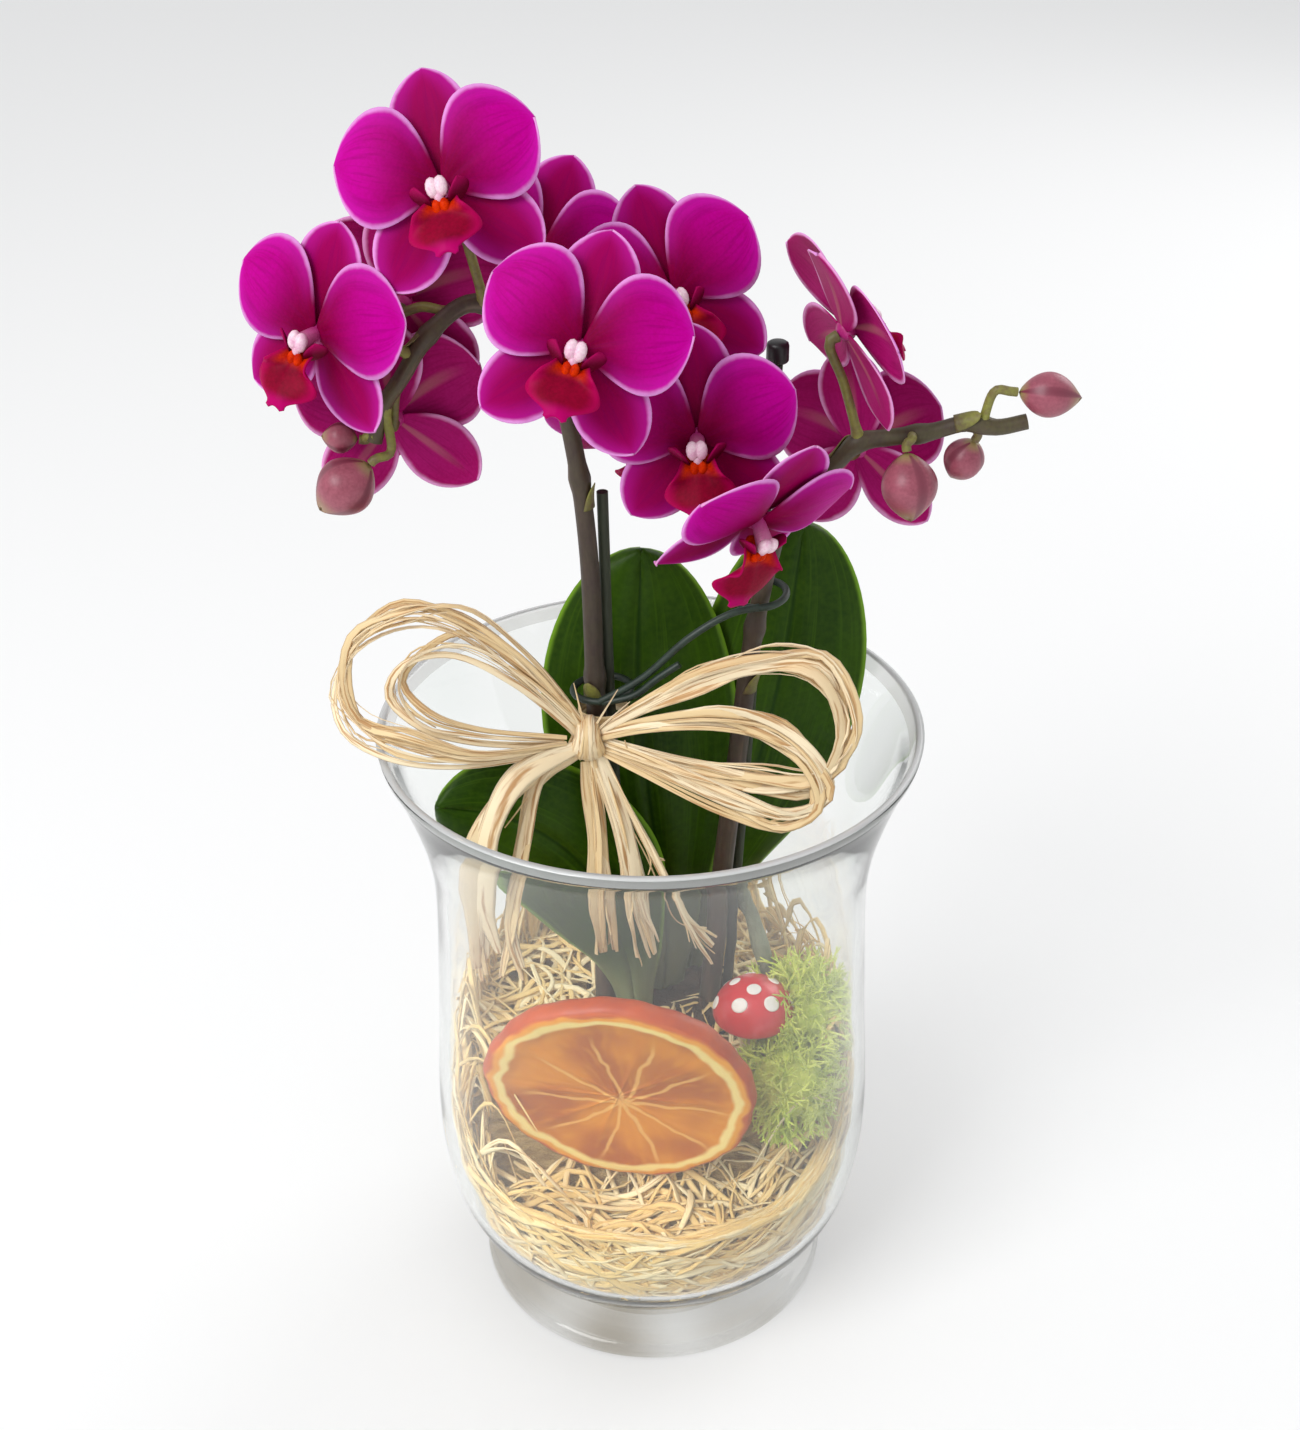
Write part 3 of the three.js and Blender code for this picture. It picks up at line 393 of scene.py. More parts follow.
def scatter_group():
    """Copies of one small shape set on a surface: how many, how large, and leaning which way."""
    n, given, end = new_group("set_on_surface", "GeometryNodeTree", {
        "Geometry": "Geometry", "Sprig": "Object", "Density": "Float", "Smallest": "Float",
        "Largest": "Float", "Lean": "Float", "Seed": "Int", "Finish": "Material"}, {"Geometry": "Geometry"})
    spots = n.add("GeometryNodeDistributePointsOnFaces", {
        "Mesh": given["Geometry"], "Density": given["Density"], "Seed": given["Seed"]})
    sprig = n.add("GeometryNodeObjectInfo", {"Object": given["Sprig"]})
    size = n.add("FunctionNodeRandomValue", {
        2: given["Smallest"], 3: given["Largest"], "Seed": given["Seed"]})
    less = n.times(given["Lean"], -1.0)
    lean = n.add("FunctionNodeRandomValue", {
        0: n.xyz(less, less, -3.14), 1: n.xyz(given["Lean"], given["Lean"], 3.14)}, data_type="FLOAT_VECTOR")
    turn = n.add("FunctionNodeRotateRotation", {0: spots.outputs["Rotation"], 1: lean.outputs[0]},
                 rotation_space="LOCAL")
    placed = n.add("GeometryNodeInstanceOnPoints", {
        "Points": spots.outputs["Points"], "Instance": sprig.outputs["Geometry"],
        "Rotation": turn.outputs[0], "Scale": size.outputs[1]})
    both = n.add("GeometryNodeJoinGeometry")
    n.tree.links.new(placed.outputs[0], both.inputs[0])
    n.tree.links.new(given["Geometry"], both.inputs[0])
    finish_group(n, both.outputs[0], given["Finish"], end)
    return n.tree


def bake_nodes(base, tree, values, name):
    """Runs a geometry group on a mesh object and keeps the result as a plain mesh object."""
    modifier = base.modifiers.new("growth", "NODES")
    modifier.node_group = tree
    for item in tree.interface.items_tree:
        if item.in_out == "INPUT" and item.name in values:
            modifier[item.identifier] = values[item.name]
    bpy.context.view_layer.update()
    mesh = bpy.data.meshes.new_from_object(base.evaluated_get(bpy.context.evaluated_depsgraph_get()))
    mesh.name = name
    made = add_object(name, mesh)
    bpy.data.objects.remove(base)
    return made


SET_ON_SURFACE = scatter_group()
bark = plain_finish("damp_bark", (84, 58, 38), (40, 26, 18), (160.0, 0.9, 1400.0), 0.88, 0.7, 0.6)
chip_heap = Heap([(x * 4.2 * (1 - 0.25 * z), y * 2.8 * (1 - 0.2 * z), 0.9 * z - 0.2 + 0.3 * x * y)
                  for z in (0, 1) for x, y in CHIP_OUTLINE],
                 [tuple(range(5, -1, -1)), tuple(range(6, 12))]
                 + [(i, (i + 1) % 6, 6 + (i + 1) % 6, 6 + i) for i in range(6)])
chip = add_object("chip", chip_heap.mesh("chip"))
heap = turned_shape(BALL_OUTLINE, 40)
heap.points = [p + BALL_AXIS for p in heap.points]
outward = [Vector((p.x - BALL_AXIS.x, p.y - BALL_AXIS.y, 8)).normalized() for p in heap.points]
heap.points = [p + out * 0.9 * noise.noise(p * 0.35) for p, out in zip(heap.points, outward)]
ball = bake_nodes(add_object("ball", heap.mesh("ball")), SET_ON_SURFACE, {
    "Sprig": chip, "Density": CHIPS_PER_SQUARE_METRE, "Smallest": 0.7, "Largest": 1.25, "Lean": 0.5,
    "Seed": 4, "Finish": bark}, "bark_root_ball")
bpy.data.objects.remove(chip)
take_in(ball, ["root_ball"])

# Straw: wood wool, long thin shaved strips that spring against the glass and lie over each other.
# A plain core of pressed wood wool fills what isn't seen, and the strips are laid on its side and its top.
# The core is a darker straw colour: painted shade, for the gaps between the strips.
STRAW_FRONT, STRAW_RISE, CORE_SIDES, CORE_INSET = 50, 38, 72, 4.6
ON_WALL, SWAGS, ON_TOP, CLIMBING = ((820, 150, 900, 130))


def inside_radius(z):
    """How far the inner face of the glass is from the axis at this height."""
    for (z0, r0), (z1, r1) in zip(BOWL_INSIDE, BOWL_INSIDE[1:]):
        if z <= z1:
            return r0 + (r1 - r0) * (z - z0) / (z1 - z0)
    return BOWL_INSIDE[-1][1]


def straw_top(x, y):
    """The height of the straw: low at the front and higher behind."""
    t = min(1, max(0, (y + 40) / 36))
    return STRAW_FRONT + STRAW_RISE * t * t * (3 - 2 * t) + 1.6 * math.sin(x / 5) * math.cos(y / 6)


def strand_group():
    """A strip, stem or wire along each line, as broad and turned as each point says."""
    n, given, end = new_group("strand_along_line", "GeometryNodeTree", {
        "Geometry": "Geometry", "Sides": "Int", "Flatness": "Float", "Finish": "Material"},
        {"Geometry": "Geometry"})
    broad, wide = (
        n.add("GeometryNodeInputNamedAttribute", {"Name": key}, data_type=kind).outputs["Attribute"]
        for key, kind in (("broad", "FLOAT"), ("wide", "FLOAT_VECTOR")))
    line = n.add("GeometryNodeMeshToCurve", {"Mesh": given["Geometry"]})
    girth = n.add("GeometryNodeSetCurveRadius", {"Curve": line.outputs[0], "Radius": broad})
    laid = n.add("GeometryNodeSetCurveNormal", {"Curve": girth.outputs[0], "Normal": wide}, mode="FREE")
    ring = n.add("GeometryNodeCurvePrimitiveCircle", {"Resolution": given["Sides"]}, mode="RADIUS")
    part = n.add("GeometryNodeSplineParameter")
    known = n.add("GeometryNodeStoreNamedAttribute", {
        "Geometry": ring.outputs["Curve"], "Name": "turn", "Value": part.outputs["Factor"]},
        data_type="FLOAT")
    flat = n.add("GeometryNodeTransform", {"Geometry": known.outputs[0],
                                           "Scale": n.xyz(1.0, given["Flatness"], 1.0)})
    solid = n.add("GeometryNodeCurveToMesh", {
        "Curve": laid.outputs[0], "Profile Curve": flat.outputs[0], "Scale": broad, "Fill Caps": True})
    finish_group(n, solid.outputs[0], given["Finish"], end)
    return n.tree


STRAND_ALONG_LINE = strand_group()


def strands(name, lines, sides, flatness, finish, nodes=()):
    """One piece from many lines, each (points, half width, facing, roll, tone), in millimetres."""
    heap, edges, wides = Heap(), [], []
    for path, half, facing, roll, tone in lines:
        first, reach = len(heap.points), 0.0
        for i, p in enumerate(path):
            t = i / (len(path) - 1)
            reach += (p - path[i - 1]).length if i else 0.0
            on = (path[min(i + 1, len(path) - 1)] - path[max(0, i - 1)]).normalized()
            flat = on.cross(facing(p) if callable(facing) else Vector(facing)).normalized()
            turn = roll(t)
            wides += list(flat * math.cos(turn) + on.cross(flat) * math.sin(turn))
            heap.add(p, {"broad": half(t) * MM, "tone": tone(t) if callable(tone) else tone,
                         "along": reach * MM})
        edges += [(first + i, first + i + 1) for i in range(len(path) - 1)]
    mesh = heap.mesh("lines", edges)
    mesh.attributes.new("wide", "FLOAT_VECTOR", "POINT").data.foreach_set("vector", wides)
    made = bake_nodes(add_object("lines", mesh), STRAND_ALONG_LINE,
                      {"Sides": sides, "Flatness": flatness, "Finish": finish}, name)
    made.data.shade_smooth()
    return take_in(made, nodes)


def fibre_group():
    """Fine lines that run along a strip or stem and fade in and out."""
    n, given, end = new_group("fibre_lines", "ShaderNodeTree", {"Across": "Float", "Length": "Float"},
                              {"Lines": "Float", "Tone": "Float"})
    turn, along, tone = (n.mark(key) for key in ("turn", "along", "tone"))
    where = n.xyz(n.times(turn, given["Across"]), n.times(along, given["Length"]), n.times(tone, 37.0))
    n.tree.links.new(n.noise(where, 1.0, 3.0), end[0])
    n.tree.links.new(tone, end[1])
    return n.tree


FIBRE = fibre_group()


def fibres(n, across, length):
    """The fibre group placed in a material, as its lines and its tone."""
    made = n.add("ShaderNodeGroup", node_tree=FIBRE)
    n.fill(made, {"Across": across, "Length": length})
    return made.outputs["Lines"], made.outputs["Tone"]


def dry_strip(name, pale, mid, brown, rough, lined_from=0.56):
    """Straw and raffia: dry plant strips, paler or browner strip by strip, with fine fibres."""
    n = Finish(name)
    lines, tone = fibres(n, 9.0, 55.0)
    body = n.blend(n.ramp(tone, 0.0, 0.75), pale, mid)
    return n.dress(n.blend(n.ramp(lines, lined_from, lined_from + 0.16), body, brown), rough,
                   n.bump(lines, 0.6, 0.25), {"Sheen Weight": 0.12})


straw_finish = dry_strip("pale_wood_wool", (254, 236, 190), (242, 208, 136), (202, 154, 80), 0.62)
# Painted shade: the core is a darker straw colour, for the shade in the gaps between the strips.
core_shade = plain_finish("packed_wood_wool", (216, 184, 122), (146, 110, 60), (240.0, 0.9, 1500.0, (1, 1, 3)),
                      0.85, 0.9, 1.2)
heap, rows = Heap(), 0
for j in range(CORE_SIDES):
    out = on_circle(1, 2 * math.pi * j / CORE_SIDES)
    rim = straw_top(out.x * 52, out.y * 52) - 3
    column = [(r, 18.5) for r in (0, 20, 36)]
    column += [(inside_radius(z) - CORE_INSET, z) for z in (21 + (rim - 21) * k / 12 for k in range(13))]
    edge = column[-1][0]
    column += [(edge * k / 8, straw_top(out.x * edge * k / 8, out.y * edge * k / 8) - 3)
               for k in range(7, -1, -1)]
    rows = len(column)
    heap.points += [out * r + Vector((0, 0, z)) for r, z in column]
heap.faces = [(j * rows + i, (j + 1) % CORE_SIDES * rows + i, (j + 1) % CORE_SIDES * rows + i + 1,
               j * rows + i + 1) for j in range(CORE_SIDES) for i in range(rows - 1)]
make_piece("straw_core", heap, [core_shade])

rng = random.Random(23)
straw_lines = []


def out_from_axis(p):
    return Vector((p.x, p.y, 0))


def lay_strip(path, thin, thick, facing, roll, twist, keep_clear=True):
    """Lays a strip, but not where it would lie over the slice of orange."""
    if keep_clear and any(p.z > 62 and p.y < -20 and -48 < p.x < 32 for p in path):
        return
    wide = rng.uniform(thin, thick)
    start, turn = rng.uniform(-roll, roll), rng.uniform(-twist, twist)
    straw_lines.append((path, lambda t: wide * (1 - 0.5 * (2 * t - 1) ** 8), facing,
                        lambda t: start + turn * t, rng.random()))


def wall_strip(angles, heights, depth):
    path = []
    for i, (a, z) in enumerate(zip(angles, heights)):
        z = min(max(z, 18.8), straw_top(52 * math.cos(a), 52 * math.sin(a)) + 5)
        path.append(on_circle(inside_radius(z) - depth - 0.7 * math.sin(1.1 * i + depth * 9), a, z))
    lay_strip(path, 0.45, 1.15, out_from_axis, 0.6, 0.8)


for k in range(ON_WALL):
    start, span = rng.uniform(0, 2 * math.pi), rng.uniform(0.3, 1.1) * rng.choice((-1, 1))
    rim = straw_top(52 * math.cos(start), 52 * math.sin(start)) + 3
    low, rise, sag = 19 + (rim - 19) * rng.random() ** 0.85, rng.gauss(0, 25), rng.uniform(-4, 12)
    stops = [i / 9 for i in range(10)]
    wall_strip([start + span * t for t in stops],
               [low + rise * (t - 0.5) - sag * math.sin(math.pi * t) for t in stops], rng.uniform(0.9, 4.0))
for k in range(SWAGS):
    middle, lowest, ends = rng.gauss(0, 0.5) - math.pi / 2, rng.uniform(19, 52), rng.uniform(10, 60)
    first, last = sorted((rng.uniform(-1.3, 0.5), rng.uniform(-0.5, 1.3)))
    stops, slope = [first + (last - first) * i / 11 for i in range(12)], rng.gauss(0, 16)
    wall_strip([middle + u for u in stops], [lowest + ends * u * u + slope * u for u in stops],
               rng.uniform(0.7, 3.2))
for k in range(ON_TOP):
    r, a = 53 * rng.random() ** 0.5, rng.uniform(0, 2 * math.pi) if k % 3 else rng.uniform(-2.6, -0.5)
    middle = on_circle(r, a)
    if (middle - BALL_AXIS).length < 20:
        continue
    way, reach, curl = rng.uniform(0, 2 * math.pi), rng.uniform(7, 22), rng.uniform(-0.05, 0.05)
    lift, path = rng.uniform(-0.5, 4.0), []
    for i in range(9):
        t = i / 8 * 2 - 1
        p = middle + on_circle(1, way + curl * reach * t) * reach * t
        p *= min(1, 53.5 / max(math.hypot(p.x, p.y), 1e-6))
        p.z = straw_top(p.x, p.y) + lift * (1 - 0.8 * t * t) - 0.6
        path.append(p)
    lay_strip(path, 0.45, 1.1, (0, 0, 1), 0.7, 1.2)
for k in range(CLIMBING):
    a = rng.uniform(1.9, 3.9) if k % 4 else rng.uniform(-0.5, 1.4)
    base = straw_top(50 * math.cos(a), 50 * math.sin(a))
    up, span, path = rng.uniform(8, 24), rng.uniform(-0.7, 0.7), []
    for i in range(9):
        t = i / 8
        z = base - 4 + up * math.sin(math.pi * t)
        path.append(on_circle(inside_radius(z) - 1.6 - 7 * t, a + span * t, z))
    lay_strip(path, 0.35, 0.9, out_from_axis, 1, 2, False)
strands("straw_strips", straw_lines, 6, 0.3, straw_finish, ["straw"])

# Leaves: three thick leathery blades that clasp the crown. Each is folded along its midrib, with
# painted shade in the crease, and has a small notch at its tip, a shiny face and a painted highlight
# along its edge.
LEAVES = [
    ("leaf_centre", 52, 3, ((1, 0, 0), (1, 0.1, 0)),
     [(3, 9, 84), (4, 9, 112), (0, 10, 150), (-3, 13, 186), (-2, 19, 222)]),
    ("leaf_right", 47, 3, ((1, 0.1, 0), (1, 0.05, -0.2)),
     [(10, 18, 84), (15, 18, 112), (26, 17, 146), (35, 20, 186), (40, 26, 226)]),
    ("leaf_left", 42, 2.5, ((1, 0, 0.2), (0.25, 0.1, 0.95)),
     [(-4, -2, 84), (-7, -4, 112), (-19, -8, 144), (-36, -11, 160), (-54.5, -14, 166)]),
]
LEAF_RISE = [(0, 0.2), (0.14, 0.28), (0.3, 0.56), (0.48, 0.9), (0.66, 1), (0.82, 1)]
LEAF_ROUND_FROM, LEAF_THICK = 0.66, 1.7


def stop_value(stops, t):
    """A smooth value read off a short list of (place, value)."""
    for k in range(1, len(stops)):
        if t <= stops[k][0] or k == len(stops) - 1:
            (t0, v0), (t1, v1) = stops[k - 1], stops[k]
            before = stops[k - 2] if k > 1 else (2 * t0 - t1, 2 * v0 - v1)
            after = stops[k + 1] if k + 1 < len(stops) else (2 * t1 - t0, 2 * v1 - v0)
            m0 = (v1 - before[1]) / (t1 - before[0]) * (t1 - t0)
            m1 = (after[1] - v0) / (after[0] - t0) * (t1 - t0)
            u = (t - t0) / (t1 - t0)
            return (v0 * (2 * u ** 3 - 3 * u * u + 1) + m0 * (u ** 3 - 2 * u * u + u)
                    + v1 * (3 * u * u - 2 * u ** 3) + m1 * (u ** 3 - u * u))


def blade(heap, skin, across, stops, thick, kind=0.0, front=1):
    """Adds both faces and the rim of a thin blade. skin(s, t) is its middle, s from -1 to 1."""
    grid = [[skin(-1 + 2 * j / across, t) for j in range(across + 1)] for t in stops]
    first, wide, count, last = len(heap.points), across + 1, (across + 1) * len(stops), len(stops) - 1
    normals = []
    for i, row in enumerate(grid):
        line = []
        for j in range(wide):
            side = row[min(across, j + 1)] - row[max(0, j - 1)]
            normal = side.cross(grid[min(last, i + 1)][j] - grid[max(0, i - 1)][j])
            if normal.length < 1e-5 and i:
                normal = normals[-1][j]
            line.append(normal.normalized())
        normals.append(line)
    for face in (1, -1):
        for i, t in enumerate(stops):
            for j in range(wide):
                s, p = -1 + 2 * j / across, grid[i][j]
                heap.add(p + normals[i][j] * (face * thick(s, t) / 2), {
                    "across": s, "length": t, "under": (1 - face * front) / 2, "kind": kind,
                    "inset": min((p - grid[i][0]).length, (p - grid[i][-1]).length)})
    for i in range(last):
        for j in range(across):
            a = first + i * wide + j
            heap.faces += [(a, a + 1, a + 1 + wide, a + wide),
                           (a + count, a + wide + count, a + 1 + wide + count, a + 1 + count)]
    rim = [(0, j) for j in range(across)] + [(i, across) for i in range(last)]
    rim += [(last, j) for j in range(across, 0, -1)] + [(i, 0) for i in range(last, 0, -1)]
    rim = [first + i * wide + j for i, j in rim]
    heap.faces += [(a, a + count, b + count, b) for a, b in zip(rim, rim[1:] + rim[:1])]


n = Finish("waxy_leaf")
across, length = n.mark("across"), n.mark("length")
cloud, _ = mottle(n, (54, 86, 10), (28, 56, 4), 34.0, 0.9, 700.0)
veins = n.noise(n.xyz(n.times(across, 22.0), n.times(length, 3.0), 0.0), 1.0, 3.0)
striped = n.blend(n.ramp(veins, 0.5, 0.75), cloud, (60, 94, 12))
# Painted shade: the midrib crease is darker, for the shade that falls in the fold.
midrib_shaded = n.blend(n.ramp(n.calc("ABSOLUTE", across), 0.045, 0.0), striped, (30, 60, 8))
# Painted highlight: the edge is paler, for the light along the rounded rim of the blade.
edged = n.blend(n.ramp(n.mark("inset"), 1.8, 0.1), midrib_shaded, (116, 162, 36))
sided = n.blend(n.ramp(n.mark("under"), 0.4, 0.6), edged, (84, 112, 52))
leaf_finish = n.dress(n.blend(n.ramp(length, 0.34, 0.1), sided, (122, 134, 96)), 0.35,
                      n.bump(veins, 0.25, 0.35), {"Specular IOR Level": 0.12})
for name, width, fold, sides, spine in LEAVES:
    line = smooth_line(spine, 61)
    first_side, last_side = Vector(sides[0]), Vector(sides[1])

    def leaf_skin(s, t):
        notch = 0.022 * math.exp(-(s / 0.14) ** 2) * t ** 10
        u = (t - notch) * 60
        i = min(59, int(u))
        centre = line[i].lerp(line[i + 1], u - i)
        on = (line[i + 1] - line[i]).normalized()
        away = first_side.lerp(last_side, t)
        away = (away - on * away.dot(on)).normalized()
        half = stop_value(LEAF_RISE, t)
        if t >= LEAF_ROUND_FROM:
            half = math.sqrt(max(0, 1 - ((t - LEAF_ROUND_FROM) / (1 - LEAF_ROUND_FROM)) ** 2))
        drop = -fold * s * s - 0.9 * math.exp(-(s / 0.07) ** 2) + 0.5 * math.sin(7 * t + 2 * s) * s * s
        return centre + away * (s * half * width / 2) + away.cross(on) * drop

    heap = Heap()
    stops = [LEAF_ROUND_FROM * k / 26 for k in range(26)]
    stops += [LEAF_ROUND_FROM + (1 - LEAF_ROUND_FROM) * math.sin(math.pi / 2 * k / 16) for k in range(17)]
    blade(heap, leaf_skin, 26, stops, lambda s, t: LEAF_THICK * (1 - 0.75 * s * s))
    make_piece(name + "_blade", heap, [leaf_finish], [name])

# Spikes: two woody flower stems that rise from the crown, bend over and carry the blooms and buds
# on short curved stalks. The stems are dark brown with a purple cast, and the stalks are greener.
SPIKES = {
    "spike_left": [(-13, 4, 78), (-13, 1.5, 130), (-13.6, 0, 170), (-14, 0, 200), (-14.8, 0, 232),
                   (-17.3, 0, 257), (-21.5, 1, 276), (-29.5, 3, 289), (-40.5, 4, 293), (-50, 1, 287),
                   (-57, -1, 277), (-61.8, -2, 270), (-64.2, -3, 262)],
    "spike_right": [(15.5, 6, 78), (19.4, 2, 134), (22.6, 1, 170), (25.8, 0, 206), (29.7, 1, 229),
                    (33.6, 2, 243), (39.6, 1, 249), (45.4, 0, 255.4), (49.5, 0, 259.6), (57.6, 0, 261),
                    (66, -1, 262.6), (75.4, -2, 265.4), (81.5, -3, 264.6), (88.5, -3, 266)],
}
JOINTS = {
    "spike_left": [(-14, 0, 196), (-16.4, 0, 251), (-50.5, 1, 286.6), (-28, 2.6, 287), (-20.5, 1, 272),
                   (-37, 3.6, 292)],
    "spike_right": [(49.6, 0, 259.8), (63.5, -0.6, 262.4), (77.4, -2.2, 265.2), (32.6, 1.8, 240),
                    (26.4, 0, 210)],
}
# Each bract: its spike, how far along it sits, and which way round the stem it points.
BRACTS = [
    ("spike_left", 0.42, 200), ("spike_left", 0.62, -60), ("spike_left", 0.79, 90),
    ("spike_left", 0.9, 60), ("spike_right", 0.5, -80), ("spike_right", 0.68, 150),
    ("spike_right", 0.8, 80), ("spike_right", 0.93, 90),
]
# Each bloom: its heart, how it is turned, nods and rolls, and where its stalk starts and passes.
BLOOMS = [
    ("bloom_top_left", (-43.6, -10, 323.6), -8, 22, 16, (-37, 3.6, 292), []),
    ("bloom_far_left", (-73.9, -8, 290.5), -30, 8, -10, (-54, 0, 282), []),
    ("bloom_front", (-14.4, -31, 295), -4, 22, -15, (-20.5, 1, 272), []),
    ("bloom_right_of_front", (5.8, 3, 295), 8, 18, 15, (-22, 1.4, 277), [(-6, 6, 284)]),
    ("bloom_behind_top", (-26.3, 29, 295.6), 6, 22, -22, (-28, 2.6, 287), [(-31, 12, 279), (-32, 34, 281.6)]),
    ("bloom_behind_left", (-57.2, 11.5, 291), -178, 4, 6, (-45, 3, 291), []),
    ("bloom_low_left", (-60.6, 6.4, 264.5), -175, 0, -4, (-58, -1, 276), []),
    ("bloom_centre_back", (-1.9, 17, 258.5), 6, -46, 10, (-21.5, 1, 276), [(-14, 10, 275)]),
    ("bloom_centre_right", (11.1, -18, 269), -3, 4, 6, (31, 1.4, 234), []),
    ("bloom_low_right", (24.3, -26, 252.5), 30, -36, -14, (32.6, 1.8, 240),
     [(30, -6, 241), (22.5, -15, 243.5), (20.5, -20.6, 248)]),
    ("bloom_right_back_view", (45.4, -2, 288.6), 112, 24, 20, (50, 0, 259.6), []),
    ("bloom_behind_right", (52.5, 21, 249.5), 150, -4, -12, (47, 0, 257), []),
]
# Each bud: its middle, half length and half width, where it points, and where its stalk runs.
BUDS = [
    ("bud_right_end", (92.6, -4, 273), (7.6, 5.3), (1, 0, -0.1), (78, -2.6, 265), (80.4, -3.6, 274)),
    ("bud_right_second", (75.4, 1.8, 254.6), (6.4, 4.9), (-0.3, 0.3, -0.9), (77, -2.4, 265),
     (77.4, -1, 263)),
    ("bud_right_third", (61.4, -6.6, 251.6), (8.6, 6.8), (0.1, -0.2, -1), (62, -0.4, 262),
     (61.6, -4.6, 262.4)),
    ("bud_left_large", (-71, -8, 253), (8.6, 6.9), (-0.8, -0.1, -0.7), (-61.4, -2, 270), (-60.4, -5, 260)),
    ("bud_left_small", (-72.4, -1, 262.2), (4.4, 3.7), (-1, 0, 0.1), (-64, -3, 263.4), (-66, -2.6, 263)),
]
ON_LEFT = {"spike_left": (BLOOMS[:8], BUDS[3:]), "spike_right": (BLOOMS[8:], BUDS[:3])}
FORWARD, STEM_POINTS = (0.31, -0.9, 0.3), 160


def still(t):
    return 0.0


def round_strand(line, half, tone):
    """A line for strands that is round, so that it doesn't matter where it faces."""
    return line, half, FORWARD, still, tone


def bloom_place(at, turn, nod, roll):
    return (Matrix.Translation(at) @ Matrix.Rotation(math.radians(turn), 4, "Z")
            @ Matrix.Rotation(math.radians(90 - nod), 4, "X") @ Matrix.Rotation(math.radians(roll), 4, "Z"))


n = Finish("spike_bark")
fine, tone = fibres(n, 7.0, 30.0)
woody, _ = mottle(n, (66, 50, 46), (34, 22, 22), 120.0, 0.8, 1200.0, (1, 1, 0.25))
green, _ = mottle(n, (146, 150, 62), (104, 74, 62), 150.0, 0.9, 1000.0)
lined = n.blend(n.ramp(fine, 0.55, 0.8), woody, (98, 76, 68))
spike_finish = n.dress(n.blend(tone, lined, green), 0.5, n.bump(fine, 0.3, 0.4))
for name, path in SPIKES.items():
    line = smooth_line(path, STEM_POINTS)
    joints = [Vector(j) for j in JOINTS[name]]

    def stem_half(t):
        p = line[round(t * (STEM_POINTS - 1))]
        return 3 - 1.1 * t + 0.55 * sum(math.exp(-((p - j).length / 2.4) ** 2) for j in joints)

    lines = [round_strand(line, stem_half, lambda t: 0.06 + 0.25 * max(0, t - 0.55))]
    blooms, buds = ON_LEFT[name]
    for _, at, turn, nod, roll, start, by in blooms:
        place = bloom_place(at, turn, nod, roll)
        behind, further = place @ Vector((0, -0.6, -2.7)), place @ Vector((0, -0.8, -4.9))
        between = [Vector(b) for b in by] or [Vector(start).lerp(further, 0.55) + Vector((0, 0, 1.5))]
        lines.append(round_strand(
            smooth_line([start, *between, further, behind], 18),
            lambda t: 1.15 + 0.8 * math.exp(-(t / 0.1) ** 2) + 0.35 * math.exp(-((1 - t) / 0.1) ** 2),
            lambda t: 0.9 - 0.5 * t))
    for _, at, size, point, start, by in buds:
        way = Vector(point).normalized()
        end = Vector(at) - way * (0.92 * size[0] + 0.3)
        lines.append(round_strand(smooth_line([start, by, end - way * 1.6, end], 16),
                                  lambda t: 1.1 + 0.7 * math.exp(-(t / 0.12) ** 2), lambda t: 1.0 - 0.2 * t))
    strands(name + "_stem", lines, 12, 1.0, spike_finish, [name])

heap = Heap()
for name, place_on, turn in BRACTS:
    line = smooth_line(SPIKES[name], STEM_POINTS)
    k = round(place_on * (STEM_POINTS - 1))
    on = (line[k + 1] - line[k - 1]).normalized()
    first_way = on.orthogonal().normalized()
    out_way = first_way * math.cos(math.radians(turn)) + on.cross(first_way) * math.sin(math.radians(turn))
    side_way, stem_r = on.cross(out_way), 3.1 - 1.1 * place_on

    def bract_skin(s, t):
        spread, lift = s * ((1 - t) ** 0.6 + 0.02) * 1.25, stem_r + 0.1 + 1.1 * t * t
        return line[k] + on * (6.5 * t - 1) + out_way * (lift * math.cos(spread)) \
            + side_way * (lift * math.sin(spread))

    blade(heap, bract_skin, 8, [i / 10 for i in range(11)], lambda s, t: 0.5 - 0.3 * t)
heap.marks["tone"] = [0.55 + 0.4 * t for t in heap.marks["length"]]
make_piece("spike_bracts", heap, [spike_finish])

# Stakes: two thin wooden sticks, dyed dark green. They are pushed into the bark behind the spikes and
# hold them up, and a black plastic cap is pressed on the tip of the right one.
STICK_HALF, CAP_AT = 1.45, Vector((30.4, 6, 0))
CAP_OUTLINE = [(0, 277.7), (2.4, 277.7), (2.7, 278.1), (2.7, 281.6), (2.5, 282.3), (1.9, 282.7), (0, 282.8)]
stake_finish = plain_finish("dyed_stick", (58, 66, 46), (26, 30, 22), (90.0, 0.9, 900.0, (1, 1, 0.12)),
                            0.6, 0.5, 0.3)
for name, path in (("stake_left", [(-7, 10, 60), (-9, 6, 150), (-10.3, 3.4, 187), (-11.2, 3.2, 246)]),
                   ("stake_right", [(19.6, 9, 60), (23.6, 6.6, 132), (30.3, 6, 277)])):
    strands(name + "_stick", [round_strand(smooth_line(path, 40), lambda t: STICK_HALF, 0.3)], 12, 1.0,
            stake_finish, [name])
cap_finish = plain_finish("black_cap", (34, 32, 34), (16, 15, 16), (300.0, 0.7, 2600.0), 0.38, 0.2, 0.1)
heap = turned_shape(CAP_OUTLINE, 28)
heap.points = [p + CAP_AT for p in heap.points]
make_piece("stake_cap", heap, [cap_finish], ["stake_right_cap"])
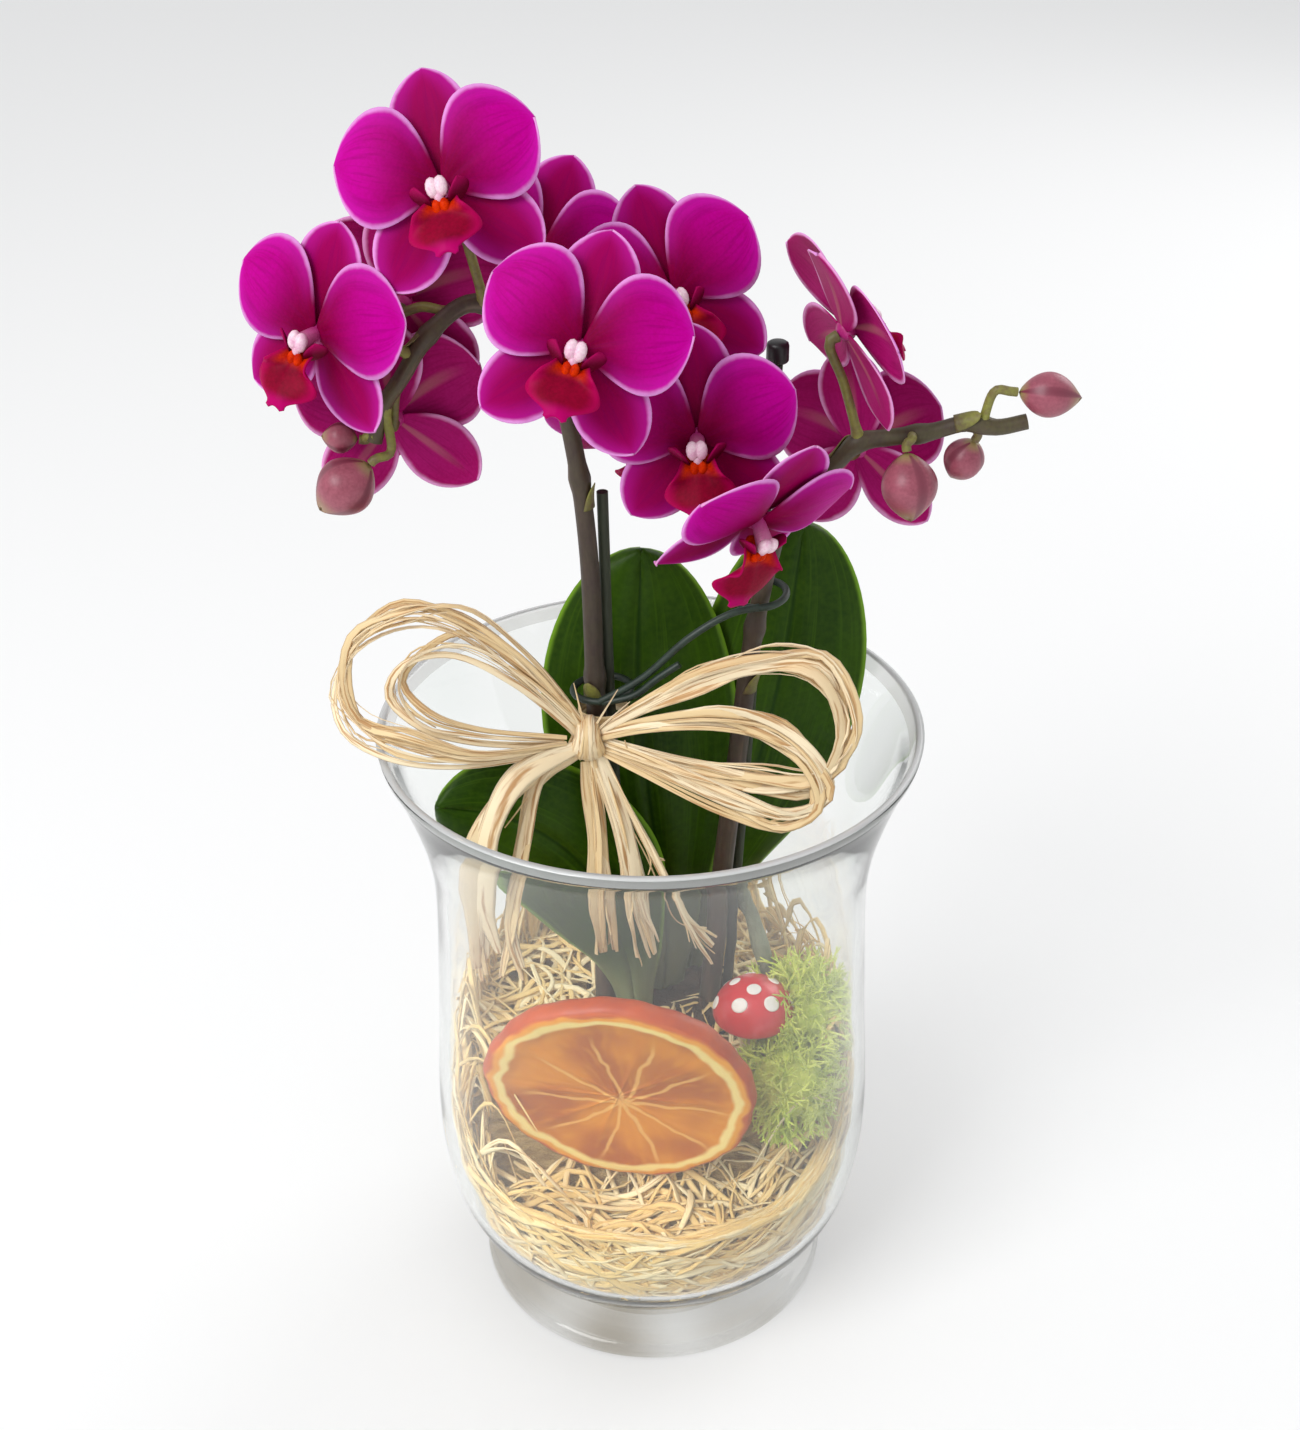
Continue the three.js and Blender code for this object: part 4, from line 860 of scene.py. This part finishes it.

# Blooms: each has a sepal at the top and one at each side below, two broad petals over them, and a
# short column with a pale cap. The petals are soft and magenta, darker to the heart, partly in their
# own colour and partly as painted shade, with fine veins, a painted highlight a little in from the edge
# and a pale lilac edge. The lip is a waxy dark crimson tongue with an orange callus.
PETALS, PETAL_LONG, PETAL_WIDE = ((24, 1), (156, -1)), 23.4, 25.5
SEPALS = ((90, 24.5, 18), (-46, 24, 17), (-134, 24, 17))
TIP_STOPS = [0.5 * k / 11 for k in range(11)]
TIP_STOPS += [0.5 + 0.5 * math.sin(math.pi / 2 * k / 12) for k in range(13)]
LIP_ROWS = {
    "half": [(0, 3.5), (0.12, 4.5), (0.25, 5.9), (0.4, 7.3), (0.54, 8.1), (0.66, 7.7), (0.76, 5.8),
             (0.84, 3.5), (0.9, 2.5), (0.97, 2.5), (1, 1.6)],
    "floor": [(0, 2.3), (0.2, 6.6), (0.36, 8), (0.62, 10.4), (0.86, 12), (1, 12.4)],
    "sides": [(0, 3), (0.2, 4), (0.36, 1.4), (0.62, -1.8), (0.86, -0.6), (1, 0)],
}
BROAD_LIPS = {"bloom_low_right": 1.2}

n = Finish("soft_petal")
across, length, inset, kind = (n.mark(key) for key in ("across", "length", "inset", "kind"))
bright, _ = mottle(n, (190, 0, 148), (168, 0, 112), 70.0, 0.7, 1500.0)
deep, _ = mottle(n, (140, 0, 64), (106, 0, 42), 90.0, 0.7, 1500.0)
back, _ = mottle(n, (178, 28, 116), (156, 8, 88), 70.0, 0.8, 1500.0)
# Darker to the heart: partly the petal's own deeper crimson and partly painted shade.
heartward = n.blend(n.ramp(length, 0.86, 0.1), bright, deep)
sepal_tone = n.blend(n.ramp(kind, 0.2, 0.8), heartward, n.blend(n.ramp(length, 1.0, 0.1), (152, 0, 86), deep))
vein = n.noise(n.xyz(n.times(across, 15.0), n.times(length, 2.2), kind), 1.0, 2.0)
vein_share = n.times(n.ramp(vein, 0.46, 0.7), 0.32)
here = n.here()
rim_width = n.calc("ADD", inset, n.noise(here, 240.0, 2.0))
off_claw = n.ramp(length, 0.1, 0.35)
# Painted highlight: a brighter magenta band a few millimetres in from the edge, where light catches the
# crest.
highlight_share = n.times(n.times(n.ramp(rim_width, 6.5, 0.8), 0.3), off_claw)
rim_share = n.times(n.ramp(rim_width, 2.0, 0.65), off_claw)
lit = n.blend(highlight_share, n.blend(vein_share, sepal_tone, (124, 0, 84)), (214, 40, 196))
rimmed = n.blend(rim_share, lit, (226, 150, 220))
stripe = n.times(n.ramp(n.calc("ABSOLUTE", across), 0.16, 0.04), n.ramp(length, 0.9, 0.3))
backed = n.blend(n.times(stripe, 0.3), n.blend(vein_share, back, (122, 4, 66)), (196, 150, 130))
sided = n.blend(n.ramp(n.mark("under"), 0.4, 0.6), rimmed, n.blend(rim_share, backed, (232, 160, 214)))
petal_finish = n.dress(sided, 0.5, n.bump(n.noise(here, 2600.0, 2.0), 0.12, 0.12),
                       {"Specular IOR Level": 0.03})

n = Finish("pale_anther_cap")
pearly, _ = mottle(n, (246, 222, 230), (214, 130, 178), 260.0, 0.8, 2000.0)
rosy, _ = mottle(n, (196, 50, 140), (150, 10, 90), 200.0, 0.8, 1500.0)
column_finish = n.dress(n.blend(n.mark("pale"), rosy, pearly), 0.4)

n = Finish("waxy_lip")
length, kind = n.mark("length"), n.mark("kind")
crimson, height = mottle(n, (142, 0, 44), (98, 0, 28), 120.0, 0.8, 1300.0)
callus, _ = mottle(n, (222, 56, 0), (160, 10, 2), 420.0, 0.9, 2200.0)
middle = n.calc("ABSOLUTE", n.mark("across"))
edged = n.blend(n.ramp(middle, 0.55, 1.0), crimson, (170, 0, 78))
tipped = n.blend(n.ramp(length, 0.72, 0.92), edged, (176, 0, 96))
warm = n.blend(n.times(n.ramp(length, 0.36, 0.14), n.ramp(middle, 1.0, 0.55)), tipped, callus)
body = n.blend(n.ramp(kind, 0.2, 0.6), warm, n.blend(n.ramp(length, 0.3, 1.0), (96, 0, 34), (158, 4, 80)))
lip_finish = n.dress(n.blend(n.ramp(kind, 1.4, 1.6), body, callus), 0.45, n.bump(height, 0.25, 0.2),
                     {"Specular IOR Level": 0.05})


def tepal(heap, place, angle, length, width, claw, lift, arch, cup, back, bulge, kind, luck):
    """A petal or a sepal: it starts narrow at the heart and ends round, and its edge waves a little."""
    out, side = on_circle(1, angle), on_circle(1, angle + math.pi / 2)
    phase, curl = luck.uniform(0, 6.28), luck.uniform(0.6, 1.3)
    broad_at, rising = (0.56, 1.0) if kind < 0.5 else (0.54, 0.8)

    def tepal_skin(s, t):
        if t < broad_at:
            half = claw + (1 - claw) * math.sin(math.pi / 2 * t / broad_at) ** rising
        else:
            half = max(0, 1 - ((t - broad_at) / (1 - broad_at)) ** 2.1) ** 0.62
        wave = math.sin(math.pi * t)
        off = s * half * width / 2 + bulge * width * 0.05 * wave
        reach = 1 + length * t * (1 + 0.07 * s * bulge * t * half)
        height = lift + (arch + cup * s * s) * wave - back * t * t
        height += 0.6 * curl * math.sin(5.2 * t + 1.6 * s + phase) * (s * s * 0.8 + 0.2) * t
        height -= 0.45 * math.exp(-(s / 0.07) ** 2) * (1 - t) * math.sin(math.pi * min(1, 1.3 * t))
        return place @ (out * reach + side * off + Vector((0, 0, height)))

    blade(heap, tepal_skin, 18, TIP_STOPS, lambda s, t: 0.62 - 0.34 * abs(s) ** 3, kind, -1)


def lump(heap, place, centre, radii, marks, around=14, down=9):
    """An egg-shaped lump added to a heap."""
    first = len(heap.points)
    for i in range(down + 1):
        sine, cosine = math.sin(math.pi * i / down), math.cos(math.pi * i / down)
        for j in range(around):
            turn = 2 * math.pi * j / around
            p = Vector((radii[0] * sine * math.cos(turn), radii[1] * sine * math.sin(turn),
                        radii[2] * cosine))
            heap.add(place @ (Vector(centre) + p), marks)
    heap.faces += [(first + i * around + j, first + (i + 1) * around + j,
                    first + (i + 1) * around + (j + 1) % around, first + i * around + (j + 1) % around)
                   for i in range(down) for j in range(around)]


for number, (name, at, turn, nod, roll, _, _) in enumerate(BLOOMS):
    luck = random.Random(100 + number)
    place = bloom_place(at, turn, nod, roll)
    heap = Heap()
    for angle, bulge in PETALS:
        tepal(heap, place, math.radians(angle + luck.uniform(-3, 3)), PETAL_LONG, PETAL_WIDE, 0.14, 1.1, 1.9,
              luck.uniform(-2.2, -0.9), luck.uniform(0.2, 1.6), bulge, 0.0, luck)
    for angle, long, wide in SEPALS:
        tepal(heap, place, math.radians(angle + luck.uniform(-2, 2)), long, wide, 0.2, -0.9, 0.6,
              luck.uniform(-1.0, 0.4), luck.uniform(0.5, 1.8), 0, 1.0, luck)
    make_piece(name + "_tepals", heap, [petal_finish], [name + "_petals"])

    heap = Heap()
    lump(heap, place, (0, -0.3, -0.2), (2.7, 2.6, 2.3), {"pale": 0.0})
    for k in range(10):
        lump(heap, place, (0, 0.1 - 0.14 * k, 1.2 + 0.54 * k), (1.7 + 0.05 * k, 1.6 + 0.06 * k, 1.3),
             {"pale": 0.03 * k}, 12, 6)
    for hand in (-1, 1):
        lump(heap, place, (hand * 0.95, -0.7, 7.1), (1.5, 2.3, 1.5), {"pale": 1.0}, 12, 8)
    lump(heap, place, (0, -2.9, 7.0), (1.1, 1.3, 1.0), {"pale": 0.8}, 10, 6)
    make_piece(name + "_column", heap, [column_finish])

    heap, full = Heap(), BROAD_LIPS.get(name, 1.0)

    def lip_skin(s, t):
        half, low, sides = (stop_value(LIP_ROWS[key], t) for key in ("half", "floor", "sides"))
        ridge = 0.7 * math.exp(-(s / 0.12) ** 2) * (1 - t)
        return place @ Vector((s * half * full, -2.95 - (12 * t + 0.8 * s * s * t) * full,
                               low + sides * s * s + ridge))

    blade(heap, lip_skin, 16, [k / 26 for k in range(27)], lambda s, t: 0.75 - 0.4 * abs(s) ** 3, 0.0, -1)
    for hand in (-1, 1):
        def lobe_skin(s, t):
            half = (0.5 + 2.3 * math.sin(math.pi * min(1, 0.12 + t * 0.8))) * (1 - t ** 4) ** 0.5
            return place @ Vector((hand * (3.3 + 2.8 * t - 1.3 * t * t + 0.8 * s * half),
                                   -4.2 + 4.6 * t + 0.4 * s * half, 4.6 + 2.6 * t - 0.55 * s * half))

        blade(heap, lobe_skin, 8, [k / 12 for k in range(13)], lambda s, t: 0.6 - 0.25 * abs(s) ** 3, 1.0)
        lump(heap, place, (hand * 0.85, -4.8, 7.3), (1.1, 1.7, 1.0),
             {"across": 0, "length": 0, "under": 0, "kind": 2.0, "inset": 5}, 10, 6)
    make_piece(name + "_tongue", heap, [lip_finish], [name + "_lip"])

# Buds: egg-shaped, grown closed from waxy sepals that meet in three seams, and dusky pink with a
# greenish tip. Each hangs on the end of its own stalk.
BUD_SIDES, BUD_ROWS = 36, 24
n = Finish("waxy_bud")
length = n.mark("length")
rosy, height = mottle(n, (164, 84, 102), (128, 54, 72), 160.0, 0.9, 1400.0)
greenish = n.blend(n.ramp(length, 0.7, 1.0), rosy, (150, 120, 84))
footed = n.blend(n.ramp(length, 0.16, 0.0), greenish, (150, 134, 84))
bud_finish = n.dress(n.blend(n.ramp(n.mark("seam"), 0.9, 1.0), footed, (120, 46, 66)), 0.42,
                     n.bump(height, 0.2, 0.15), {"Coat Weight": 0.15, "Coat Roughness": 0.35})


def stand_on(at, way):
    """The place of something that stands at this point, with its top to this side."""
    return Matrix.Translation(at) @ Vector((0, 0, 1)).rotation_difference(Vector(way)).to_matrix().to_4x4()


for name, at, size, point, _, _ in BUDS:
    place = stand_on(at, point)
    heap = Heap(faces=ring_faces(BUD_ROWS + 1, BUD_SIDES))
    for i in range(BUD_ROWS + 1):
        t = i / BUD_ROWS
        for j in range(BUD_SIDES):
            turn = 2 * math.pi * j / BUD_SIDES
            groove = abs(math.cos(1.5 * turn))
            r = size[1] * math.sin(math.pi * min(1, t * (1.06 - 0.06 * t))) ** 0.72
            r *= 1 - 0.05 * max(0, groove ** 14) * math.sin(math.pi * t)
            z = size[0] * (-0.92 + 1.92 * t + 0.04 * math.cos(3 * turn) * t ** 6)
            heap.add(place @ on_circle(r, turn, z), {"seam": groove, "length": t})
    make_piece(name + "_body", heap, [bud_finish], [name])

# Wire tie: soft wire with a dark green plastic cover. It is wound by hand round each spike and its
# stick, and two loose arms of it run from one to the other.
WIRE_HALF = 0.95


def wire_ring(centre, rx, ry, tilt):
    return [Vector(centre) + Vector((rx * math.cos(a), ry * math.sin(a), tilt * rx * math.cos(a)))
            for a in (2 * math.pi * k / 40 for k in range(41))]


wire_finish = plain_finish("covered_wire", (46, 62, 52), (24, 34, 28), (200.0, 0.8, 1800.0), 0.42, 0.2, 0.15)
wire_lines = [
    wire_ring((-12.2, 1.9, 191.5), 7.4, 6.6, 0.05), wire_ring((27.6, 2.9, 218), 6.6, 7.4, 0.1),
    smooth_line([(-12, -4.8, 191.2), (-4, -6.6, 194.4), (2, -7, 199.6), (7.4, -7, 203.6)], 24),
    smooth_line([(-13, -4.8, 191.4), (-2, -6, 199), (10, -6.6, 211), (20, -5.6, 217), (27, -4.5, 218.2)], 30)]
strands("wire_tie_wire", [round_strand(line, lambda t: WIRE_HALF, 0.5) for line in wire_lines], 10, 1.0,
        wire_finish, ["wire_tie"])

# Aerial root: a grey root with a spongy skin, which the plant grew in the open air. It leaves the
# crown, arches over the straw and ends in the moss.
ROOT_PATH = [(17, 14, 95.6), (19.6, 13.4, 107), (23.8, 12.4, 118), (27.6, 8, 117), (30, 4, 110),
             (32.4, 1.6, 101)]
root_finish = plain_finish("spongy_root", (140, 146, 122), (92, 92, 66), (180.0, 0.9, 1600.0), 0.8, 0.6, 0.5)
strands("aerial_root_skin", [round_strand(smooth_line(ROOT_PATH, 40),
                                          lambda t: 2.3 + 0.25 * math.sin(17 * t), 0.4)],
        14, 1.0, root_finish, ["aerial_root"])

# Moss: yellow-green reindeer moss, a springy dried cushion of many fine forked branches. It is
# pressed by hand between the straw and the glass.
CUSHION = [((41, -5, 92), (13, 14, 12)), ((36.5, -25, 83), (10.5, 12, 10))]
SPRIGS_PER_SQUARE_METRE, OFF_GLASS = 210000.0, 0.5
n = Finish("reindeer_moss")
moss_finish = n.dress(mottle(n, (232, 236, 122), (178, 198, 60), 130.0, 1.0, 1200.0)[0], 0.85,
                      others={"Sheen Weight": 0.2})
luck = random.Random(8)
twigs = Heap()


def twig(start, way, length, thick, forks):
    """A thin three-sided branch that forks."""
    way = Vector(way).normalized()
    side = way.orthogonal().normalized()
    other = way.cross(side)
    first = len(twigs.points)
    for centre, r in ((start, thick), (start + way * length, thick * 0.5)):
        for k in range(3):
            a = 2 * math.pi * k / 3
            twigs.points.append(centre + side * (r * math.cos(a)) + other * (r * math.sin(a)))
    twigs.faces += [(first, first + 2, first + 1), (first + 3, first + 4, first + 5)]
    twigs.faces += [(first + k, first + (k + 1) % 3, first + 3 + (k + 1) % 3, first + 3 + k)
                    for k in range(3)]
    if forks:
        for k in range(3):
            lean = Vector((luck.uniform(-1, 1), luck.uniform(-1, 1), luck.uniform(-0.2, 0.8)))
            twig(start + way * length * luck.uniform(0.5, 0.95), way + lean * 0.9, length * 0.62,
                 thick * 0.7, forks - 1)


twig(Vector((0, 0, -0.8)), (0.1, 0, 1), 3.4, 0.34, 2)
sprig = add_object("sprig", twigs.mesh("sprig"))
for number, (centre, radii) in enumerate(CUSHION):
    heap = Heap()
    lump(heap, Matrix.Identity(4), centre, [r * 0.8 for r in radii], {}, 26, 16)
    heap.points = [p + (p - Vector(centre)).normalized() * 1.8 * noise.noise(p * 0.22) for p in heap.points]
    cushion = bake_nodes(add_object("cushion", heap.mesh("cushion")), SET_ON_SURFACE, {
        "Sprig": sprig, "Density": SPRIGS_PER_SQUARE_METRE, "Smallest": 0.8, "Largest": 2.3, "Lean": 0.6,
        "Seed": 3 + number, "Finish": moss_finish}, f"moss_{number}")
    for v in cushion.data.vertices:
        far, most = math.hypot(v.co.x, v.co.y), (inside_radius(v.co.z / MM) - OFF_GLASS) * MM
        if far > most:
            v.co.x, v.co.y = v.co.x * most / far, v.co.y * most / far
    take_in(cushion, ["moss"] if number == 0 else ())
bpy.data.objects.remove(sprig)

# Toadstool: a turned wooden stem, painted cream, with a domed wooden cap glued on it that is dipped
# in red paint and dotted white by hand. The stem is pushed into the straw.
TOADSTOOL, CAP_HEIGHT, CAP_RADIUS = Vector((27.8, -11, 96)), 11.6, 11.2
DOME = [(0, 0.2), (5.7, 0.2), (8, -0.3), (10.2, -0.8), (11.0, -0.4), (11.2, 0.8), (11.0, 2.6), (10.2, 5),
        (9.1, 6.9), (7.6, 8.6), (5.9, 9.9), (4, 10.8), (2, 11.4), (0, 11.6)]
DOTS = ((-123, 45, 2.9), (-56, 44, 2.9), (-96, 16, 2.5), (158, 30, 2.2), (22, 31, 2.2), (-178, 68, 2.6),
        (-2, 68, 2.6), (90, 48, 2.6), (132, 68, 2.6), (46, 68, 2.6))
cap_red = plain_finish("red_cap_paint", (226, 40, 52), (196, 20, 36), (120.0, 0.7, 1500.0), 0.28, 0.12, 0.2,
                       {"Coat Weight": 0.5, "Coat Roughness": 0.12})
dot_white = plain_finish("white_dot_paint", (250, 246, 240), (232, 222, 214), (300.0, 0.7, 2000.0),
                         0.4, 0.2, 0.15)
cream = plain_finish("cream_stem_paint", (238, 226, 188), (208, 190, 140), (140.0, 0.8, 1400.0, (1, 1, 0.3)),
                     0.6, 0.3, 0.25)
heap = turned_shape([(max(0, r), z) for r, z in smooth_outline(DOME, 46)], 48)
heap.points = [p + TOADSTOOL for p in heap.points]
red_faces = len(heap.faces)
for azimuth, polar, size in DOTS:
    a, e = math.radians(azimuth), math.radians(polar)
    spot = on_circle(CAP_RADIUS * math.sin(e), a, CAP_HEIGHT * math.cos(e))
    out = Vector((spot.x / CAP_RADIUS ** 2, spot.y / CAP_RADIUS ** 2, spot.z / CAP_HEIGHT ** 2)).normalized()
    lump(heap, stand_on(TOADSTOOL + spot, out), (0, 0, 0), (size * 0.8, size * 0.76, 0.34), {}, 18, 8)
make_piece("toadstool_cap_dome", heap, [cap_red, dot_white], ["toadstool_cap"],
           [0] * red_faces + [1] * (len(heap.faces) - red_faces))
stem_line = smooth_line([(26.6, -11, 76), (27.4, -11, 92), (27.8, -11, 95.9)], 24)
strands("toadstool_stem_wood",
        [round_strand(stem_line, lambda t: 3.7 - 0.5 * t + 0.25 * math.sin(9 * t), 0.5)],
        20, 1.0, cream, ["toadstool_stem"])

# Orange: a dried slice with a red-brown rind, a yellow pith ring and ten see-through segments with
# pale skins between them. It stands in the straw and leans to the glass.
ORANGE_RADIUS, ORANGE_HALF, ORANGE_SIDES, SEGMENTS = 36, 3.25, 128, 10
orange_place = (Matrix.Translation((-8.4, -37.2, 92.4)) @ Matrix.Rotation(math.radians(-9), 4, "Z")
                @ Matrix.Rotation(math.radians(11), 4, "X"))
n = Finish("dried_orange")
spot = n.xyz(n.mark("disc_x"), n.mark("disc_z"), 0.0)
apart = n.vector("SUBTRACT", n.noise(spot, 3.2, 2.0, "Color"), (0.5, 0.5, 0.5))
bent = n.vector("ADD", spot, n.vector("SCALE", apart, 0.16))
cored = n.vector("ADD", bent, (-0.05, 0.08, 0))
parts = n.add("ShaderNodeSeparateXYZ", {"Vector": cored}).outputs
radius, true_radius = n.vector("LENGTH", cored), n.vector("LENGTH", bent)
turn = n.calc("ARCTAN2", parts["Y"], parts["X"])
wave = n.calc("PINGPONG", n.times(turn, SEGMENTS / (2 * math.pi)), 0.5)
skins = n.times(n.ramp(n.times(wave, radius), 0.036, 0.01), n.ramp(radius, 0.84, 0.6))
pulp = n.noise(n.xyz(n.times(turn, 9.0), n.times(radius, 5.0), 0.0), 1.0, 4.0)
lighter = n.blend(n.ramp(n.noise(spot, 1.6, 1.0), 0.4, 0.62), (182, 92, 0), (220, 134, 0))
flesh = n.blend(n.times(n.ramp(pulp, 0.46, 0.72), 0.3), lighter, (238, 162, 26))
core = n.calc("MAXIMUM", n.ramp(radius, 0.06, 0.02), skins)
lobed = n.blend(n.times(core, 0.72), flesh, (244, 190, 104))
pithed = n.blend(n.ramp(true_radius, 0.83, 0.868), lobed, (250, 222, 142))
golden = n.blend(n.ramp(true_radius, 0.895, 0.93), pithed, (240, 160, 34))
peeled = n.blend(n.ramp(true_radius, 0.94, 0.975), golden, (206, 92, 24))
peel, _ = mottle(n, (204, 84, 22), (170, 56, 10), 120.0, 0.8, 700.0)
dried = n.blend(n.ramp(n.mark("rind"), 0.3, 0.7), peeled, peel)
orange_finish = n.dress(dried, 0.45, n.bump(pulp, 0.25, 0.4), {
    "Subsurface Weight": 0.12, "Subsurface Radius": (0.006, 0.002, 0.0006), "Subsurface Scale": 1.0})
face = [(k / 26 * 0.93, -1.0, 0.0) for k in range(27)]
rind = [(0.955, -0.96, 0.1), (0.975, -0.86, 0.6), (0.99, -0.6, 1.0), (1.0, -0.2, 1.0), (1.0, 0.2, 1.0),
        (0.99, 0.6, 1.0), (0.975, 0.86, 0.6), (0.955, 0.96, 0.1)]
profile = face + rind + [(r, -h, m) for r, h, m in reversed(face)]
heap = Heap(faces=ring_faces(len(profile), ORANGE_SIDES))
for r, h, m in profile:
    for j in range(ORANGE_SIDES):
        a = 2 * math.pi * j / ORANGE_SIDES
        x, z = r * math.cos(a), r * math.sin(a)
        seg = abs(((a * SEGMENTS / (2 * math.pi)) % 1) - 0.5) * 2
        sunk = 0.55 * min(1, max(0, (0.86 - r) / 0.08)) * (1 - 0.8 * seg ** 6)
        y = h * (ORANGE_HALF - sunk) + 0.7 * math.sin(2 * a + 0.6) * r * r * 0.6
        wide = ORANGE_RADIUS * 0.985 * (1 + 0.008 * math.sin(9 * a) + 0.006 * math.sin(23 * a + 1))
        heap.add(orange_place @ Vector((x * wide, y, z * wide)), {"disc_x": x, "disc_z": z, "rind": m})
make_piece("orange_slice_disc", heap, [orange_finish], ["orange_slice"])

# Raffia bow: dry palm fibre in strips from hair-thin to finger-wide. The bundle is laid in two
# loops on each side with its tails hanging in the vase, and is bound in the middle by a short turn
# of the same fibre that also goes round the left spike and its stick.
KNOT, STEM_AT = Vector((-15.7, -10.4, 184)), Vector((-12.05, 1.85, 0))
# Each bundle: how many strips, half the width of the broadest, half the width of all, and its path.
BUNDLES = [
    (15, 0.95, 4.8, [(-15.7, -10, 184), (-32, -12, 207), (-48, -14, 221), (-60, -15, 222), (-72, -14, 213),
                     (-76, -15, 202), (-72, -19, 194), (-61, -24, 191.5), (-45, -24, 187), (-22, -13, 183)]),
    (8, 1.0, 3.0, [(-15.7, -10, 185), (-32, -13, 204), (-47, -15, 214), (-58, -16, 211), (-62, -17, 203),
                   (-56, -20, 196), (-44, -18, 190), (-22, -12, 184)]),
    (15, 1.5, 4.6, [(-15.7, -10, 184), (-2, -13, 195), (12, -17, 206), (27, -19, 212), (41, -21, 211),
                    (48, -23, 198), (46, -25, 187), (40, -25, 180), (27, -23, 180), (12, -19, 181),
                    (-12, -11, 183)]),
    (12, 1.5, 3.9, [(-15.7, -10, 184), (0, -15, 191), (17, -19, 195), (30, -21, 193), (39, -25, 186),
                    (42, -27, 176), (34, -27, 171), (20, -23, 173), (-2, -15, 180), (-15, -10, 183)]),
    (7, 3.3, 3.2, [(-17, -11, 182), (-33, -20, 178), (-41, -26, 168), (-43, -26, 148), (-42, -24, 118)]),
    (5, 3.4, 2.2, [(-17, -11, 182), (-28, -17, 176), (-33, -22, 158), (-36, -25, 138), (-36, -26, 122)]),
    (7, 2.6, 2.8, [(-15.4, -11, 179), (-13.6, -15, 160), (-12.6, -16, 141), (-11, -12, 113)]),
    (7, 2.9, 2.8, [(-14, -11, 179), (-8, -15, 160), (-5, -16, 141), (-1, -12, 113)]),
    (4, 1.3, 2.4, [(-13, -11, 179), (-1, -15, 154), (8, -16, 134), (14, -12, 116)]),
]
ENDS = ((-22, -9, 196), (-19, -8, 199), (-8, -8, 197), (-5, -9, 194), (2, -12, 176))
WISPS, KNOT_TURNS, STEM_TURNS = 26, 10, 4
raffia_finish = dry_strip("natural_raffia", (250, 232, 196), (234, 206, 156), (190, 144, 92), 0.5, 0.5)
luck = random.Random(77)
raffia_lines = []


def lay_raffia(points, half, roll, facing=(0.1, -0.9, 0.45), count=44):
    raffia_lines.append((smooth_line(points, count), half, facing, roll, luck.random()))


for count, broadest, spread, path in BUNDLES:
    is_loop = path[-1][2] > 170
    for k in range(count):
        lane = 2 * (k + 0.5) / count - 1
        shift = Vector((0.5 * lane * spread, luck.uniform(-1.6, 0.6), lane * spread * 0.7))
        points = []
        for i, p in enumerate(path):
            free = min(1, i / 2, (len(path) - 1 - i) / 2 if is_loop else 1)
            loose = Vector([luck.uniform(-0.36, 0.36) * spread for _ in range(3)])
            tied = Vector((lane * 1.2, 0, lane * 1.6)) * (1 - free)
            points.append(Vector(p) + (shift + loose) * free + tied)
        if not is_loop:
            points[-1] += Vector((luck.uniform(-3, 3), 0, luck.uniform(-2, 12)))
        wide = broadest * (0.16 + 0.9 * luck.random() ** 1.8)
        start, twist, beat = luck.uniform(-0.5, 0.5), luck.uniform(-1.1, 1.1), luck.uniform(1.6, 7)
        narrow = luck.uniform(0.2, 0.5) if wide > 1 else luck.uniform(0.6, 0.9)
        lay_raffia(points,
                   lambda t, w=wide, n=narrow, k=k: w * (n + (1 - n) * math.sin(math.pi * min(
                       1, 0.04 + 0.96 * t)) ** 0.7) * (1 + 0.16 * math.sin(13 * t + k)),
                   lambda t, a=start, b=twist, f=beat: (a + b * math.sin(f * t)) * min(1, 6 * t))
for k in range(WISPS):
    path = luck.choice(BUNDLES)[3]
    i = luck.randrange(1, len(path) - 1)
    root, way = Vector(path[i]), (Vector(path[i + 1]) - Vector(path[i - 1])).normalized()
    bend = Vector([luck.uniform(-1, 1) for _ in range(3)])
    size = luck.uniform(5, 12)
    tip = root + way * size + bend * size * 0.5
    if min(tip.y, root.y) > -28 and tip.x > -78:
        lay_raffia([root - way * 4, root + bend * 0.5, root + way * size * 0.6 + bend * size * 0.2, tip],
                   lambda t: 0.34 - 0.18 * t, still, count=14)
for k in range(KNOT_TURNS):
    x = -3.4 + 6.8 * k / (KNOT_TURNS - 1)
    size = math.sqrt(1 - (x / 4.6) ** 2)
    ring = [KNOT + Vector((x + luck.uniform(-0.15, 0.15) + (1.3 - 0.26 * k) * math.sin(a),
                           4.9 * size * math.cos(a) + 0.6, 6.0 * size * math.sin(a)))
            for a in (2 * math.pi * i / 26 for i in range(27))]
    lay_raffia(ring, lambda t: 0.95, lambda t, s=luck.uniform(-0.35, 0.35): s, lambda p: p - KNOT, 40)
for k in range(STEM_TURNS):
    ring = [STEM_AT + on_circle(6.35, a, 182.4 + 1.1 * k + 0.3 * math.sin(a + k))
            for a in (2 * math.pi * i / 30 for i in range(31))]
    lay_raffia(ring, lambda t: 0.9, still, lambda p: out_from_axis(p - STEM_AT), 40)
for tip in ENDS:
    lay_raffia([KNOT, KNOT.lerp(Vector(tip), 0.5) + Vector((0, -1.5, 1)), tip],
               lambda t: 0.42 - 0.3 * t, still, count=12)
strands("raffia_bow_strips", raffia_lines, 8, 0.16, raffia_finish, ["raffia_bow"])
heap = Heap()
lump(heap, Matrix.Identity(4), KNOT, (3.3, 4.4, 5.4), {"turn": 0.2, "along": 0.0, "tone": 0.6})
make_piece("raffia_knot_core", heap, [raffia_finish])

low, high = cad_box
now_low, now_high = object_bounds()
{"cad": [list(low), list(high)], "visual": [list(now_low), list(now_high)]}
